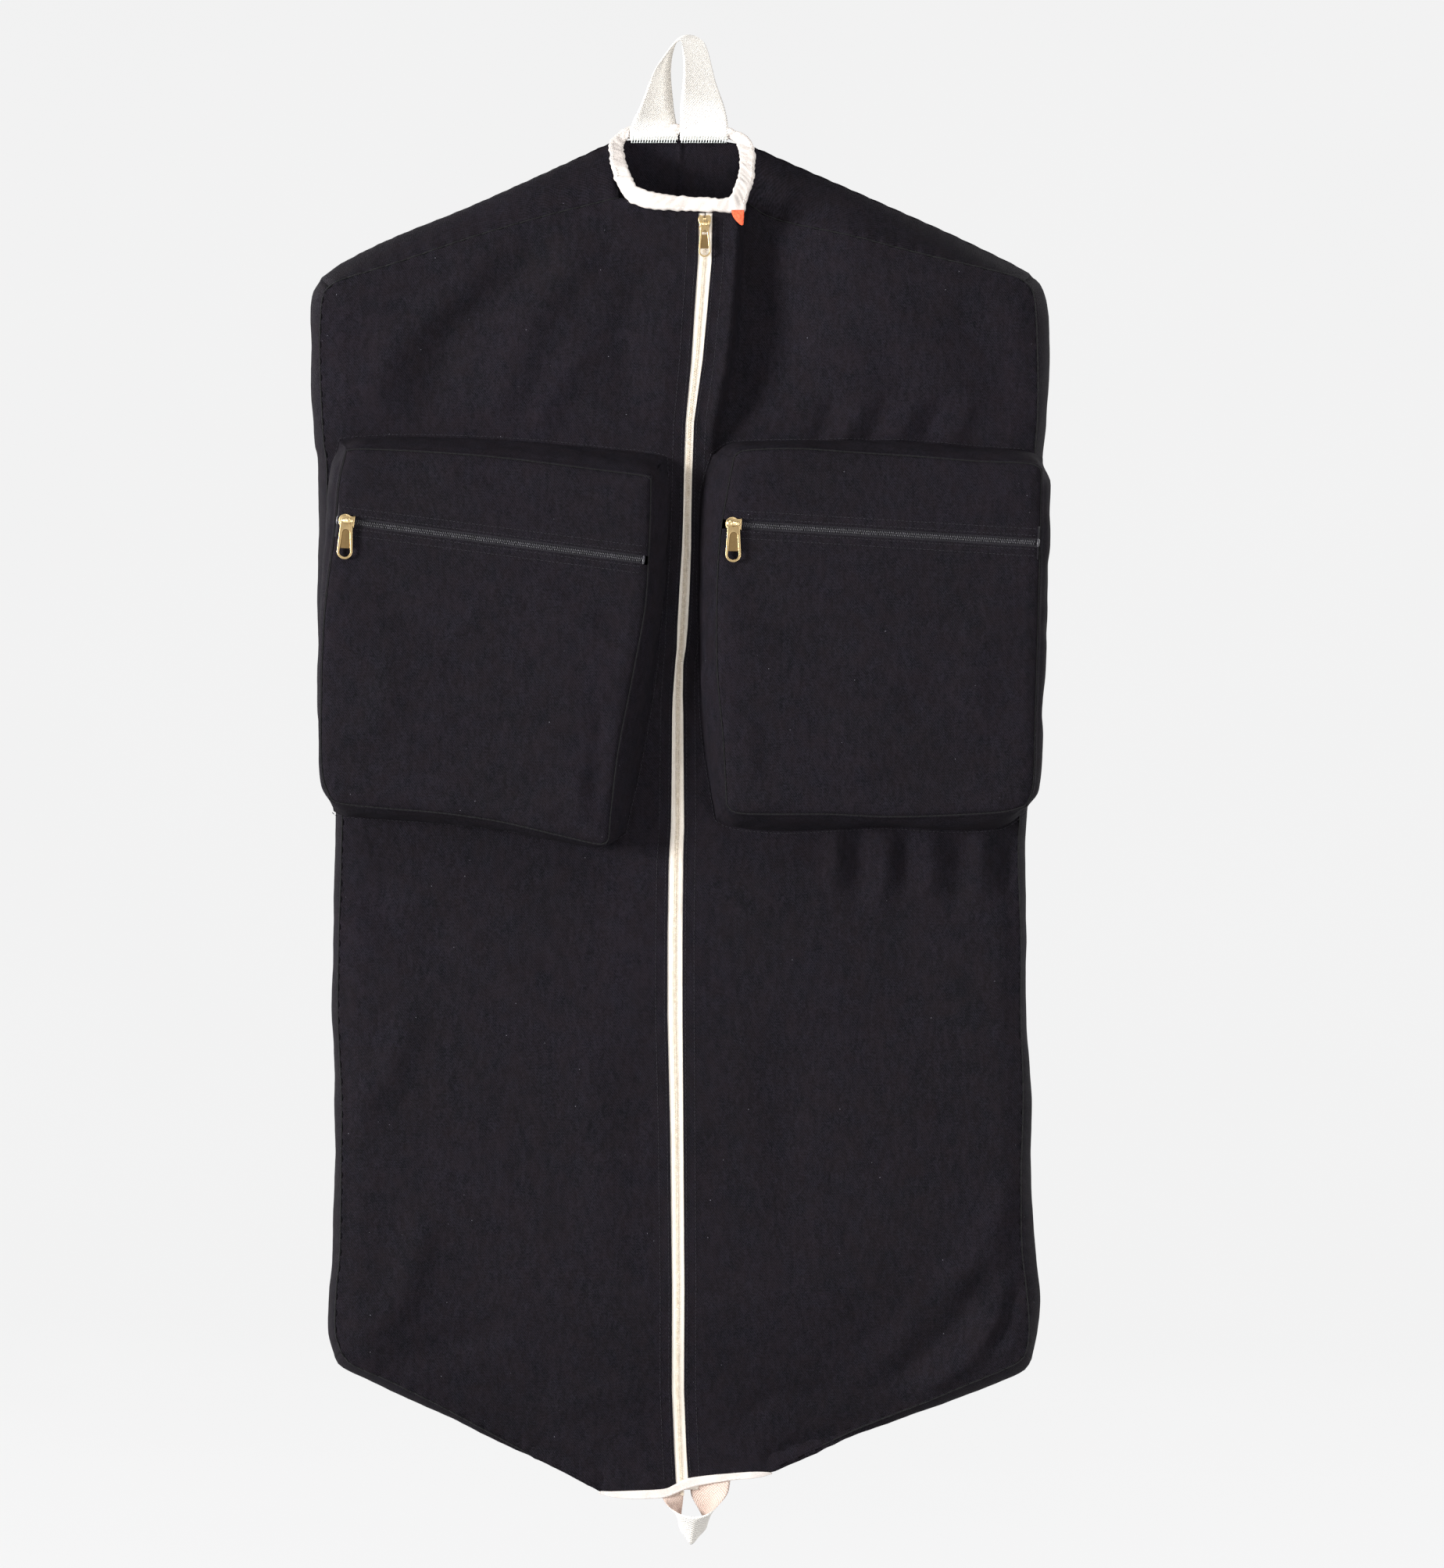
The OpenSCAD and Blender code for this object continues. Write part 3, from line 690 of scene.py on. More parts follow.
def front_depth(x, z):
    """The front panel's outer face: the flat cut plus its drape."""
    x, z = np.broadcast_arrays(np.asarray(x, float), np.asarray(z, float))
    out = 1.5 * waves(x, z, 11, 150) + 0.8 * waves(x, z, 12, 60) + 0.26 * waves(x, z, 15, 24)
    # the placket stands proud and the cloth to its right falls in behind it
    off = x - np.interp(-z, [-p[1] for p in PLACKET_EDGE], [p[0] for p in PLACKET_EDGE])
    step = 23.0 * ramp(off, -1.0, 6) * ramp(off, 110, 5) - 3.2 * ramp(off, -26, -2) * (off < 0)
    step = step - 3.2 * (off >= 0) * ramp(off, 2.5, 0)
    out = out + step * ramp(z, -372, -285)
    out = out - creases(x, z, FRONT_FOLDS, 2.2)
    # ripples above the right pocket
    for k, at in enumerate((120, 142, 163, 186, 208, 232)):
        line = [(at + 10, -296 - 3 * (k % 2)), (at, -322), (at - 12, -342)]
        out = out - 1.3 * crease(x, z, line, 2.4 if k % 2 else -2.6, 7)
    # gathers hanging from the right pocket's lower edge
    for k, at in enumerate((128, 147, 165, 186, 205, 227, 247, 268)):
        line = [(at, -640), (at + 2 * (k % 3), -676), (at - 2, -716 - 9 * (k % 3))]
        out = out - crease(x, z, line, (4.2, -4.6)[k % 2], 7.5 + k % 3, ends=0.4)
    # calm beside the zip, so that the tape lies flat
    gap = np.abs(x - zip_x(z)) - zip_half(z)
    out = out * ramp(gap, 5, 22)
    drawn = pinch(x, z)
    return FRONT + out * (1 - 0.6 * drawn) + (MIDDLE - 1 - FRONT) * drawn


def on_front(points):
    """Sets (x, z) points on the front panel's face."""
    p = np.asarray(points, float)
    return together(p[:, 0], front_depth(p[:, 0], p[:, 1]), p[:, 1])


def back_depth(x, z):
    """The back panel's outer face."""
    x, z = np.broadcast_arrays(np.asarray(x, float), np.asarray(z, float))
    out = 1.0 * waves(x, z, 21, 170) + 0.6 * waves(x, z, 22, 70) + 0.2 * waves(x, z, 23, 24)
    out = (out + creases(x, z, BACK_FOLDS)) * ramp(np.abs(x), 2, 16)
    dip = 1.6 * np.exp(-(x / 2.2) ** 2)
    drawn = pinch(x, z)
    return BACK + (out - dip) * (1 - 0.8 * drawn) + (MIDDLE + 2.6 - BACK) * drawn


def edge_roll(grid, outer, sign):
    """Turns a panel's edge in towards its seam; outer holds the seam's points. sign is
    +1 for the front panel and -1 for the back one."""
    far = np.full(grid.shape[:2], FAR_AWAY)
    for x, z in outer[::3]:
        far = np.minimum(far, np.hypot(grid[..., 0] - x, grid[..., 2] - z))
    turn = 4.0 * (1 - smooth(far / 24)) ** 1.6 + 2.0 * np.exp(-(far / 1.7) ** 2)
    grid[..., 1] += sign * turn
    return grid


# The closed hem that the bottom binding covers
HEM = [(-68, -1205.6), (-50, -1206), (-37, -1206.4), (-14, -1205.2), (-4, -1201.8),
       (7, -1197), (27, -1193.6), (50, -1191.2), (66, -1190.4), (76.5, -1189.6)]
HEM_CUT = from_eye(HEM, MIDDLE) + [0, 1.6]


def panel_grid(side, line, inner, depth):
    """A panel from its seam to its inner edge. The rows run from neck to base."""
    outer = outline(side, line, FRONT if line == "front" else BACK)
    share = edge_steps(290, 3.6)[:, None]
    flat = (1 - share) * outer[:, None] + share * inner[:, None]
    hem_dip = np.interp(flat[-1, :, 0], HEM_CUT[:, 0], HEM_CUT[:, 1]) - flat[-1, :, 1]
    low_rows = ramp(np.linspace(0, 1, ROWS), 0.9, 1.0)[:, None]
    x, z = flat[..., 0], flat[..., 1] + low_rows * hem_dip
    return edge_roll(together(x, depth(x, z), z), outer, 1 if line == "front" else -1)


def rows_along(height_top, height_bottom, shoulder_share, base_share):
    """Heights down an inner edge that go with the rows of the outer seam."""
    cuts = [0, shoulder_share, 1 - base_share, 1]
    parts = [np.linspace(cuts[0], cuts[1], SHOULDER),
             np.linspace(cuts[1], cuts[2], SIDE)[1:], np.linspace(cuts[2], cuts[3], BASE)[1:]]
    return height_top + (height_bottom - height_top) * np.concatenate(parts)


ZIP_TOP = from_eye([(21, -143)], FRONT)[0, 1]
ZIP_END = from_eye([(0, -1201)], MIDDLE)[0, 1]
FRONT_ROWS = rows_along(ZIP_TOP, ZIP_END, 0.13, 0.075)
BACK_TOP = from_eye([(0, -78)], BACK)[0, 1]
BACK_END = from_eye([(0, -1197)], BACK)[0, 1]
BACK_ROWS = rows_along(BACK_TOP, BACK_END, 0.16, 0.075)

# Flat sizes before sewing, in metres
FLAT_FRONT = {LEFT: (0.318, 1.112), RIGHT: (0.312, 1.103)}
FLAT_BACK = {LEFT: (0.312, 1.165), RIGHT: (0.312, 1.155)}

# The stretch of cloth that bends when the bag is folded; BENDS stands for a body's name
BENDS = None


def place_piece(piece, slot, body, *nodes):
    if nodes:
        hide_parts(*nodes)
    if body is BENDS:
        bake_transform(piece)
    else:
        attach(piece, body)


def side_name(side):
    return "left" if side == LEFT else "right"


def halves(node):
    return f"{node}_upper", f"{node}_lower"


grids = {}
for side in (LEFT, RIGHT):
    name = side_name(side)
    front_inner = together(zip_x(FRONT_ROWS) + side * zip_half(FRONT_ROWS), FRONT_ROWS)
    front = panel_grid(side, "front", front_inner, front_depth)
    back = panel_grid(side, "back", together(0.0, BACK_ROWS), back_depth)
    grids[side] = front, back
    for label, grid, turned, flat in (
        ("front_panel", front, side == LEFT, FLAT_FRONT[side]),
        ("back_panel", back, side == RIGHT, FLAT_BACK[side]),
    ):
        piece = cloth(f"canvas_{label}_{name}", grid, canvas, grid[..., [0, 2]], turned)
        place_piece(piece, "canvas", BENDS, *halves(f"{label}_{name}"))


GUSSET_COLUMNS = 17
GUSSET_ROW = 4.2


def gusset_part(side, first, last):
    """The side wall between the front and back seams, over some of the rows."""
    front, back = grids[side]
    rim = outline(side, "rim", MIDDLE)[first:last]
    a, c = front[first:last, 0], back[first:last, 0]
    chord = (a + c) / 2
    b = together(rim[:, 0], chord[:, 1], rim[:, 1])
    v = np.linspace(0, 1, GUSSET_COLUMNS)
    w = v[None, :, None]
    grid = ((1 - w) * (1 - 2 * w) * a[:, None] + 4 * w * (1 - w) * b[:, None]
            + w * (2 * w - 1) * c[:, None])
    out = b - chord
    out = out / np.maximum(np.linalg.norm(out, axis=1), 1e-6)[:, None]
    run = np.arange(first, last)[:, None] * GUSSET_ROW
    ripple = 0.9 * waves(run, grid[..., 1], 31 + side, 46) + 0.4 * waves(run, grid[..., 1], 33, 15)
    crest = np.exp(-((v - 0.03) / 0.03) ** 2) + np.exp(-((v - 0.97) / 0.03) ** 2)
    push = ripple * np.sin(pi * v) ** 0.7 - 0.5 * crest
    return grid + out[:, None] * push[..., None], together(grid[..., 1], -run)


GUSSETS = {
    "shoulder_gusset": (0, SHOULDER, "bag_upper"),
    "side_gusset": (SHOULDER - 1, SHOULDER + SIDE - 1, BENDS),
    "bottom_gusset": (SHOULDER + SIDE - 2, ROWS, "bag_lower"),
}
for side in (LEFT, RIGHT):
    for label, (first, last, body) in GUSSETS.items():
        node = f"{label}_{side_name(side)}"
        grid, uv = gusset_part(side, first, last)
        piece = cloth(f"canvas_{node}", grid, canvas, uv, side == RIGHT)
        place_piece(piece, "canvas", body, *(halves(node) if body is BENDS else [node]))


# ---------------------------------------------------------------- pockets

# Each pocket's front edge and the seam where its gusset meets the panel, as they line up
# from the camera. Edges run left to right or top to bottom.
POCKETS = {
    LEFT: {
        "zip": ((-278.6, -404.2), (-25.4, -437.3)),
        "top": [(-277, -341), (-262, -340), (-215, -342), (-150, -347), (-85, -355),
                (-34, -361.5), (-24, -364)],
        "right": [(-24, -364), (-24.5, -395), (-26, -430), (-29, -473), (-40, -533), (-51, -590),
                  (-57, -640), (-59, -664)],
        "bottom": [(-290, -630), (-282, -634), (-246, -638), (-198, -642), (-150, -649),
                   (-102, -660), (-66, -668), (-59, -664)],
        "left": [(-277, -341), (-283, -370), (-286, -405), (-294, -471), (-297, -533),
                 (-297, -605), (-290, -630)],
        "base_top": [(-281, -334), (-262, -332), (-215, -331), (-141, -334), (-75, -340),
                     (-28, -345), (-12.5, -348)],
        "base_right": [(-12.5, -348), (-11.5, -380), (-14, -413), (-18, -481), (-24, -540),
                       (-35, -605), (-43, -640), (-46, -657)],
        "base_bottom": [(-286, -640), (-278, -643), (-246, -645), (-198, -648), (-150, -653),
                        (-102, -661), (-64, -664), (-46, -657)],
        "base_left": [(-281, -334), (-287, -365), (-289, -405), (-290, -471), (-290, -533),
                      (-290, -605), (-286, -640)],
        "bulge": {"top": (2, 3), "right": (8, 2), "bottom": (3, 4), "left": (5, 4)},
    },
    RIGHT: {
        "zip": ((36.4, -407.5), (293.5, -423.2)),
        "top": [(45, -347), (54, -341.5), (100, -340), (148, -343), (196, -346), (244, -350),
                (290, -352), (300, -357)],
        "right": [(300, -357), (299.5, -385), (299, -413), (297, -485), (295, -557), (293, -617),
                  (287, -636)],
        "bottom": [(39, -636), (48, -642), (80, -643), (124, -643), (172, -645), (220, -644),
                   (268, -641), (287, -636)],
        "left": [(45, -347), (39, -378), (34, -409), (31, -452), (31, -521), (36, -581),
                 (39, -636)],
        "base_top": [(28, -346), (46, -336), (100, -335), (148, -335), (196, -336), (244, -340),
                     (286, -343), (300, -348)],
        "base_right": [(300, -348), (300, -380), (298, -413), (297, -485), (295, -557),
                       (291, -612), (284, -641)],
        "base_bottom": [(31, -646), (48, -653), (86, -656), (130, -654), (172, -652), (220, -655),
                        (264, -653), (284, -641)],
        "base_left": [(28, -346), (19, -378), (17, -409), (17, -452), (18, -521), (21, -581),
                      (31, -646)],
        "bulge": {"top": (2, 3), "right": (8, 5), "bottom": (2, 3), "left": (2, 3)},
    },
}
OVER = edge_steps(255, 3.0)
TOP_DOWN = edge_steps(62, 3.0)
LOW_DOWN = edge_steps(232, 3.0)
ZIP_OPEN = 3.7
POCKET_FOLDS = {
    LEFT: [
        ([(-64, -545), (-63, -590), (-68, -640)], -1.3, 8),
        ([(-84, -596), (-81, -628), (-76, -655)], 1.2, 9),
        ([(-104, -640), (-88, -650), (-74, -658)], -0.9, 7),
        ([(-200, -352), (-178, -372), (-150, -388)], 0.8, 9),
        ([(-140, -560), (-100, -556), (-70, -545)], 0.8, 10),
        ([(-255, -450), (-200, -500), (-150, -520)], -1.4, 18),
        ([(-270, -600), (-240, -560), (-230, -500)], 1.2, 14),
        ([(-120, -450), (-90, -480), (-60, -490)], 1.2, 12),
    ],
    RIGHT: [
        ([(50, -450), (90, -500), (150, -520)], -1.4, 18),
        ([(280, -450), (240, -510), (230, -580)], 1.4, 18),
        ([(70, -620), (130, -600), (190, -605)], 1.1, 14),
        ([(250, -560), (200, -545), (170, -560)], -1.1, 12),
        ([(60, -560), (56, -590), (60, -620)], 1.2, 8),
    ],
}


def on_line(pair, t):
    a, b = np.array(pair[0], float), np.array(pair[1], float)
    return a + (b - a) * np.asarray(t, float)[:, None]


def pocket_zip_frame(side):
    a, b = (np.array(p, float) for p in POCKETS[side]["zip"])
    along = (b - a) / np.linalg.norm(b - a)
    return a, along, np.array([-along[1], along[0]]), np.linalg.norm(b - a)


def pocket_depth(side, x, z):
    """The pocket front's outer face: nearly flat, a little slack, fuller low down."""
    start, along, up, length = pocket_zip_frame(side)
    off = np.abs((x - start[0]) * up[0] + (z - start[1]) * up[1])
    out = 1.3 * waves(x, z, 41 + side, 95) + 0.75 * waves(x, z, 43 + side, 38)
    out = out + 0.22 * waves(x, z, 47 + side, 15)
    out = (out - creases(x, z, POCKET_FOLDS[side], 1.7)) * ramp(off, 4, 26)
    full = 2.2 * ramp(off, 10, 90)
    return POCKET + out - full * (z < start[1])


def split_edge(points, z_top, z_low):
    """An edge cut at the zip into an upper and a lower run."""
    p = rounded(points, FINE_CURVE)
    run = lengths(p)
    at_top = np.interp(-z_top, -p[:, 1], run)
    at_low = np.interp(-z_low, -p[:, 1], run)
    return (sample(p, run, at_top * TOP_DOWN),
            sample(p, run, at_low + (run[-1] - at_low) * LOW_DOWN))


def lift_face(side, flat, edges):
    """Gives a pocket face its depth and rolls it back near its sewn edges."""
    x, z = flat[..., 0], flat[..., 1]
    far = np.full(x.shape, FAR_AWAY)
    for edge in edges:
        for p in even(edge, 130):
            far = np.minimum(far, np.hypot(x - p[0], z - p[1]))
    roll = 1.9 * (1 - smooth(far / 12)) ** 1.7 + 1.9 * np.exp(-(far / 1.5) ** 2)
    return together(x, pocket_depth(side, x, z) + roll, z)


def pocket_fronts(side):
    """The pocket's two faces, above and below its zip."""
    start, along, up, length = pocket_zip_frame(side)
    level = {key: from_eye(POCKETS[side][key], POCKET) for key in ("top", "right", "bottom", "left")}
    ends = [start, start + along * length]
    upper = [p + up * ZIP_OPEN for p in ends]
    lower = [p - up * ZIP_OPEN for p in ends]
    left_top, left_low = split_edge(level["left"], upper[0][1], lower[0][1])
    right_top, right_low = split_edge(level["right"], upper[1][1], lower[1][1])
    top = at_fractions(level["top"], OVER)
    bottom = at_fractions(level["bottom"], OVER)
    zip_up = on_line((left_top[-1], right_top[-1]), OVER)
    zip_down = on_line((left_low[0], right_low[0]), OVER)
    face_top = coons(left_top, right_top, top, zip_up, TOP_DOWN, OVER)
    face_low = coons(left_low, right_low, zip_down, bottom, LOW_DOWN, OVER)
    return (lift_face(side, face_top, [left_top, right_top, top]),
            lift_face(side, face_low, [left_low, right_low, bottom]))


def pocket_rims(side, top, low):
    """All round a pocket: its front edge, the seam on the panel behind it, and how far the
    gusset between them swells."""
    runs = {"top": top[0], "bottom": low[-1]}
    for key, column in (("right", -1), ("left", 0)):
        gap = (top[-1:, column] + low[:1, column]) / 2
        runs[key] = np.vstack([top[:, column], gap, low[:, column]])
    front_loop, base_loop, swell = [], [], []
    for key, way in (("top", 1), ("right", 1), ("bottom", -1), ("left", -1)):
        run = runs[key]
        share = lengths(run) / lengths(run)[-1]
        seam = at_fractions(from_eye(POCKETS[side]["base_" + key], FRONT), share)
        first, last = POCKETS[side]["bulge"][key]
        amount = (first + (last - first) * share) * ramp(share, 0, 0.06) * ramp(share, 1, 0.94)
        front_loop.append(run[::way][:-1])
        base_loop.append(seam[::way][:-1])
        swell.append(amount[::way][:-1])
    return (np.vstack(front_loop), on_front(np.vstack(base_loop)) - [0, 0.2, 0],
            np.concatenate(swell))


def pocket_gusset(side, front_loop, base_loop, swell):
    """The wall round a pocket, bowed outwards and a little rippled."""
    step = np.roll(front_loop, -1, axis=0) - np.roll(front_loop, 1, axis=0)
    outward = together(step[:, 2], 0.0, -step[:, 0])
    outward /= np.maximum(np.linalg.norm(outward, axis=1), 1e-6)[:, None]
    away = np.sum(outward * (front_loop - front_loop.mean(axis=0)), axis=1)
    outward *= np.where(away < 0, -1, 1)[:, None]
    v = edge_steps(40, 2.4, (0.0, 0.6, 1.3, 2.1, 3.2, 4.6, 6.4))[None]
    run = lengths(front_loop)[:, None]
    ripple = 1.3 * waves(run, v * 40, 51 + side, 30) + 0.5 * waves(run, v * 40, 53, 11)
    nip = np.exp(-((v - 0.1) / 0.06) ** 2)
    push = 4 * v * (1 - v) * (swell[:, None] + ripple) - 0.7 * nip
    grid = ((1 - v)[..., None] * front_loop[:, None] + v[..., None] * base_loop[:, None]
            + push[..., None] * outward[:, None])
    return grid, together(v * 38, run)


def pocket_zip(side):
    """Tapes, teeth and end stops."""
    name = side_name(side)
    start, along, up, length = pocket_zip_frame(side)
    across = np.array([up[0], 0, up[1]])
    t = np.linspace(2, length - 2, 90)
    offs = np.array([0.5, 2.0, 4.5, 8.0, 13.5])
    tape_depth = POCKET + 1.4 + 0.16 * np.arange(len(offs))
    for label, way in (("top", 1), ("bottom", -1)):
        flat = start + along * t[:, None, None] + up * way * offs[:, None]
        piece = cloth(f"{name}_pocket_tape_{label}", together(flat[..., 0], tape_depth, flat[..., 1]),
                      black_tape, together(offs, t[:, None]), way > 0, POCKET_TAPE_THICK)
        place_piece(piece, "pocket_zip_tape", "bag_upper", f"{name}_pocket_zip_tape_{label}")
        parts = []
        for k in range(int((length - 10) / POCKET_TOOTH_PITCH)):
            s = 6 + (k + (0.5 if way > 0 else 0.0)) * POCKET_TOOTH_PITCH
            p = start + along * s + up * way * 0.95
            parts.append(dash((p[0], POCKET + 0.65, p[1]), across, FORWARD, *POCKET_TOOTH))
        piece = merge(f"{name}_pocket_teeth_{label}", parts, black_coil)
        place_piece(piece, "pocket_zip_coil", "bag_upper", f"{name}_pocket_zip_coil_{label}")
    parts = []
    for s in (3.0, length - 3.0):
        p = start + along * s
        parts.append(dash((p[0], POCKET + 0.2, p[1]), across, FORWARD, 6.6, 2.6, 2.0))
    piece = merge(f"{name}_pocket_stops", parts, black_coil)
    place_piece(piece, "pocket_zip_coil", "bag_upper", f"{name}_pocket_zip_stops")


pocket_loops = {}
for side in (LEFT, RIGHT):
    name = side_name(side)
    faces = pocket_fronts(side)
    for label, grid in zip(("front_top", "front_bottom"), faces):
        piece = cloth(f"canvas_{name}_pocket_{label}", grid, canvas, grid[..., [0, 2]], True)
        place_piece(piece, "canvas", "bag_upper", f"{name}_pocket_{label}")
    front_loop, base_loop, swell = pocket_rims(side, *faces)
    pocket_loops[side] = front_loop, base_loop
    grid, uv = pocket_gusset(side, front_loop, base_loop, swell)
    piece = cloth(f"canvas_{name}_pocket_gusset", grid, canvas, uv, round_rows=True)
    place_piece(piece, "canvas", "bag_upper", f"{name}_pocket_gusset")
    pocket_zip(side)


# ---------------------------------------------------------------- main zip

def zip_depth(z):
    """The depth of the front panel's closed edges at some height."""
    return FRONT + (MIDDLE - 1 - FRONT) * pinch(0.0, np.asarray(z, float))


def zip_bar(z, aside, depth, along, size):
    """A bar of some size beside the main zip's centre line, depth behind the cloth's face."""
    place = (float(zip_x(z)) + aside, float(zip_depth(z)) + depth, z)
    return dash(place, along, FORWARD, *size)


coil_stitches = []
for side in (LEFT, RIGHT):
    name = side_name(side)
    z = np.linspace(ZIP_TOP - 1.5, ZIP_END - 2, 420)[:, None]
    offs = np.array([0.55, 1.3, 3.0, 5.0, 8.0, 13.5])
    at_fold = 1.9 * ramp(np.abs(z - FOLD + 12), 50, 30) * (offs > 6)
    grid = together(zip_x(z) + side * offs, zip_depth(z) + 1.15 + 0.35 * (offs < 1) + at_fold, z)
    piece = cloth(f"main_tape_{name}", grid, zip_tape, together(offs, z), side == LEFT,
                  MAIN_TAPE_THICK)
    place_piece(piece, "zip_tape", BENDS, *halves(f"main_zip_tape_{name}"))

    parts = []
    for k in range(int((ZIP_TOP - ZIP_END - 2) / MAIN_TOOTH_PITCH)):
        tooth_z = ZIP_TOP - 9 - (k + (0.5 if side > 0 else 0)) * MAIN_TOOTH_PITCH
        parts.append(zip_bar(tooth_z, side * 0.75, 0.45, (1, 0, 0), MAIN_TOOTH))
    piece = merge(f"main_teeth_{name}", parts, zip_coil)
    place_piece(piece, "zip_coil", BENDS, *halves(f"main_zip_coil_{name}"))

    # the sewing thread that holds this side of the coil to its tape
    z = np.linspace(ZIP_TOP - 8, ZIP_END + 5, 1600)
    line = together(zip_x(z) + side * 2.35, zip_depth(z) + 0.95, z)
    coil_stitches += stitch_row(line, pitch=2.2, length=1.9, width=0.38, rise=0.05)
place_piece(merge("main_coil_thread", coil_stitches, coil_thread), "zip_coil", BENDS)

parts = [zip_bar(ZIP_TOP - 7.0, side * 2.0, 0.3, (0, 0, 1), (2.6, 2.2, 1.8)) for side in (LEFT, RIGHT)]
place_piece(merge("main_top_stops", parts, brass), "brass", "bag_upper", "main_zip_top_stops")
parts = [zip_bar(ZIP_END + 3, 0.0, 0.3, (1, 0, 0), (6.4, 2.6, 2.0))]
place_piece(merge("main_bottom_stop", parts, brass), "brass", "bag_lower", "main_zip_bottom_stop")


# ---------------------------------------------------------------- binding, webbing, tag

def strap_profile(columns, power):
    """A flat strap's cross-section from -1 to 1, as (across, through), with rounded edges."""
    u = np.linspace(-1, 1, columns)
    edge = np.sqrt(np.clip(1 - np.abs(u) ** power, 0, 1))
    return np.vstack([together(u, edge), together(u, -edge)[-2:0:-1]])


def strap_grid(centres, across, width, thickness, columns):
    """A flat strap with rounded edges, swept along its centres; across holds the
    direction of its width at each centre, 1 long for the full width."""
    normal = unit(np.cross(across, unit(np.gradient(centres, axis=0))))
    ring = strap_profile(columns, 14)
    grid = (centres[:, None] + across[:, None] * ring[None, :, :1] * width / 2
            + normal[:, None] * ring[None, :, 1:] * thickness / 2)
    return grid, together(ring[None, :, 0] * width / 2, lengths(centres)[:, None]), normal


def strap_piece(name, grid, uv, material):
    faces = tube_faces(*grid.shape[:2], flip=True)
    piece = mesh_piece(name, grid.reshape(-1, 3), faces, material, uv.reshape(-1, 2))
    face_outwards(piece)
    return piece


def strap_between(stations, thickness, count, columns):
    """A strap given by its two edges, each station as (x, z) of one edge, (x, z) of the
    other, as seen from the front, and the depths of both. Also returns the edges."""
    raw = rounded(stations, count)
    a, b = from_eye(raw[:, :2], raw[:, 4]), from_eye(raw[:, 2:4], raw[:, 5])
    a = together(a[:, 0], raw[:, 4], a[:, 1])
    b = together(b[:, 0], raw[:, 5], b[:, 1])
    size = np.linalg.norm(b - a, axis=1).mean()
    grid, uv, _ = strap_grid((a + b) / 2, (b - a) / size, size, thickness, columns)
    return grid, uv, a, b


# The ring's stations: inner x, z and outer x, z as seen, and the depths of both edges
NECK_RING = [
    (-42, -82.6, -43, -72.6, 12.6, 13.6), (-46.4, -88, -57.6, -84, 8, 8),
    (-45.6, -97, -58.2, -97, -8, -10), (-43.2, -106, -56.8, -107, -20, -22),
    (-39.8, -114.4, -52.6, -119.6, -31, -32), (-35, -122.6, -44.6, -132.6, -39, -39),
    (-24, -126.6, -33, -139.4, -42.6, -42.6), (-10.5, -129.2, -14.3, -142.2, -43, -43),
    (10, -131.2, 6, -143, -43, -43), (24, -131.6, 20, -143.6, -43, -43),
    (31, -132.4, 31, -143.8, -43.2, -43.2), (37.6, -132.4, 43, -144.6, -43.4, -43.4),
    (42.6, -129.2, 53.2, -144, -42.6, -43.4), (45.8, -121, 57, -130, -36, -40),
    (48.6, -112.5, 61.2, -119, -25, -31), (49.6, -101, 62.4, -105, -10, -17),
    (48, -90.5, 62, -91.5, 4, -2), (42.5, -84, 52.6, -78.6, 11.5, 9),
    (22, -81.4, 24, -70.6, 13.2, 13.4), (0, -81.4, 0, -70.8, 13.2, 13.4),
    (-22, -81.4, -22, -70.8, 13.2, 13.4),
]


NECK_ROWS = 420


def neck_ring():
    """The binding round the neck as a grid, with its edges and its front normal."""
    raw = np.array(NECK_RING, float)
    inner = np.column_stack([from_eye(raw[:, :2], raw[:, 4]), raw[:, 4]])
    outer = np.column_stack([from_eye(raw[:, 2:4], raw[:, 5]), raw[:, 5]])
    both = np.hstack([inner, outer])
    both = rounded(np.vstack([both, both[:1]]), NECK_ROWS + 1)[:-1]
    a, b = both[:, [0, 2, 1]], both[:, [3, 5, 4]]
    turn = np.arange(NECK_ROWS) / NECK_ROWS * 2 * pi

    def ripple(seed, cycles, size):
        rng = np.random.RandomState(seed)
        total = np.zeros(NECK_ROWS)
        for c in cycles:
            total += np.sin(turn * c + rng.uniform(0, 2 * pi)) * rng.uniform(0.6, 1.2)
        return total / len(cycles) ** 0.5 * size

    wide = unit(b - a)
    a = a + wide * ripple(61, (19, 27, 38, 52), 0.45)[:, None]
    b = b + wide * ripple(62, (17, 29, 41, 57), 0.5)[:, None]
    tangent = unit(np.roll(a + b, -1, axis=0) - np.roll(a + b, 1, axis=0))
    normal = unit(np.cross(tangent, wide))
    normal *= np.where(normal[:, 1] > 0, -1.0, 1.0)[:, None]
    half = 1.55 + ripple(63, (13, 31, 47), 0.12)
    ring = strap_profile(14, 5)
    middle = (a + b) / 2
    # slanting puckers, and the step where the strip's ends overlap
    place = np.arange(NECK_ROWS)[:, None] * 1.0
    across = ring[None, :, 0] * 6.5
    pucker = 0.5 * np.sin(place * 0.62 + across * 0.5) * waves(place, across, 64, 16)
    pucker = pucker + 0.55 * waves(place, across, 65, 9)
    front_face = (ring[None, :, 1] > 0.2) * (1 - np.abs(ring[None, :, 0]) ** 4)
    joint = np.argmin(np.hypot(middle[:, 0] - 30.5, middle[:, 2] + 141))
    lap = 0.75 * ramp(place, joint - 0.4, joint + 0.4) * ramp(place, joint + 34, joint + 20)
    rise = ring[None, :, 1] * half[:, None] + (pucker + lap) * front_face
    grid = (middle[:, None] + ((b - a) / 2)[:, None] * ring[None, :, :1]
            + normal[:, None] * rise[..., None])
    return grid, together(across, place), a, b, normal * half[:, None]


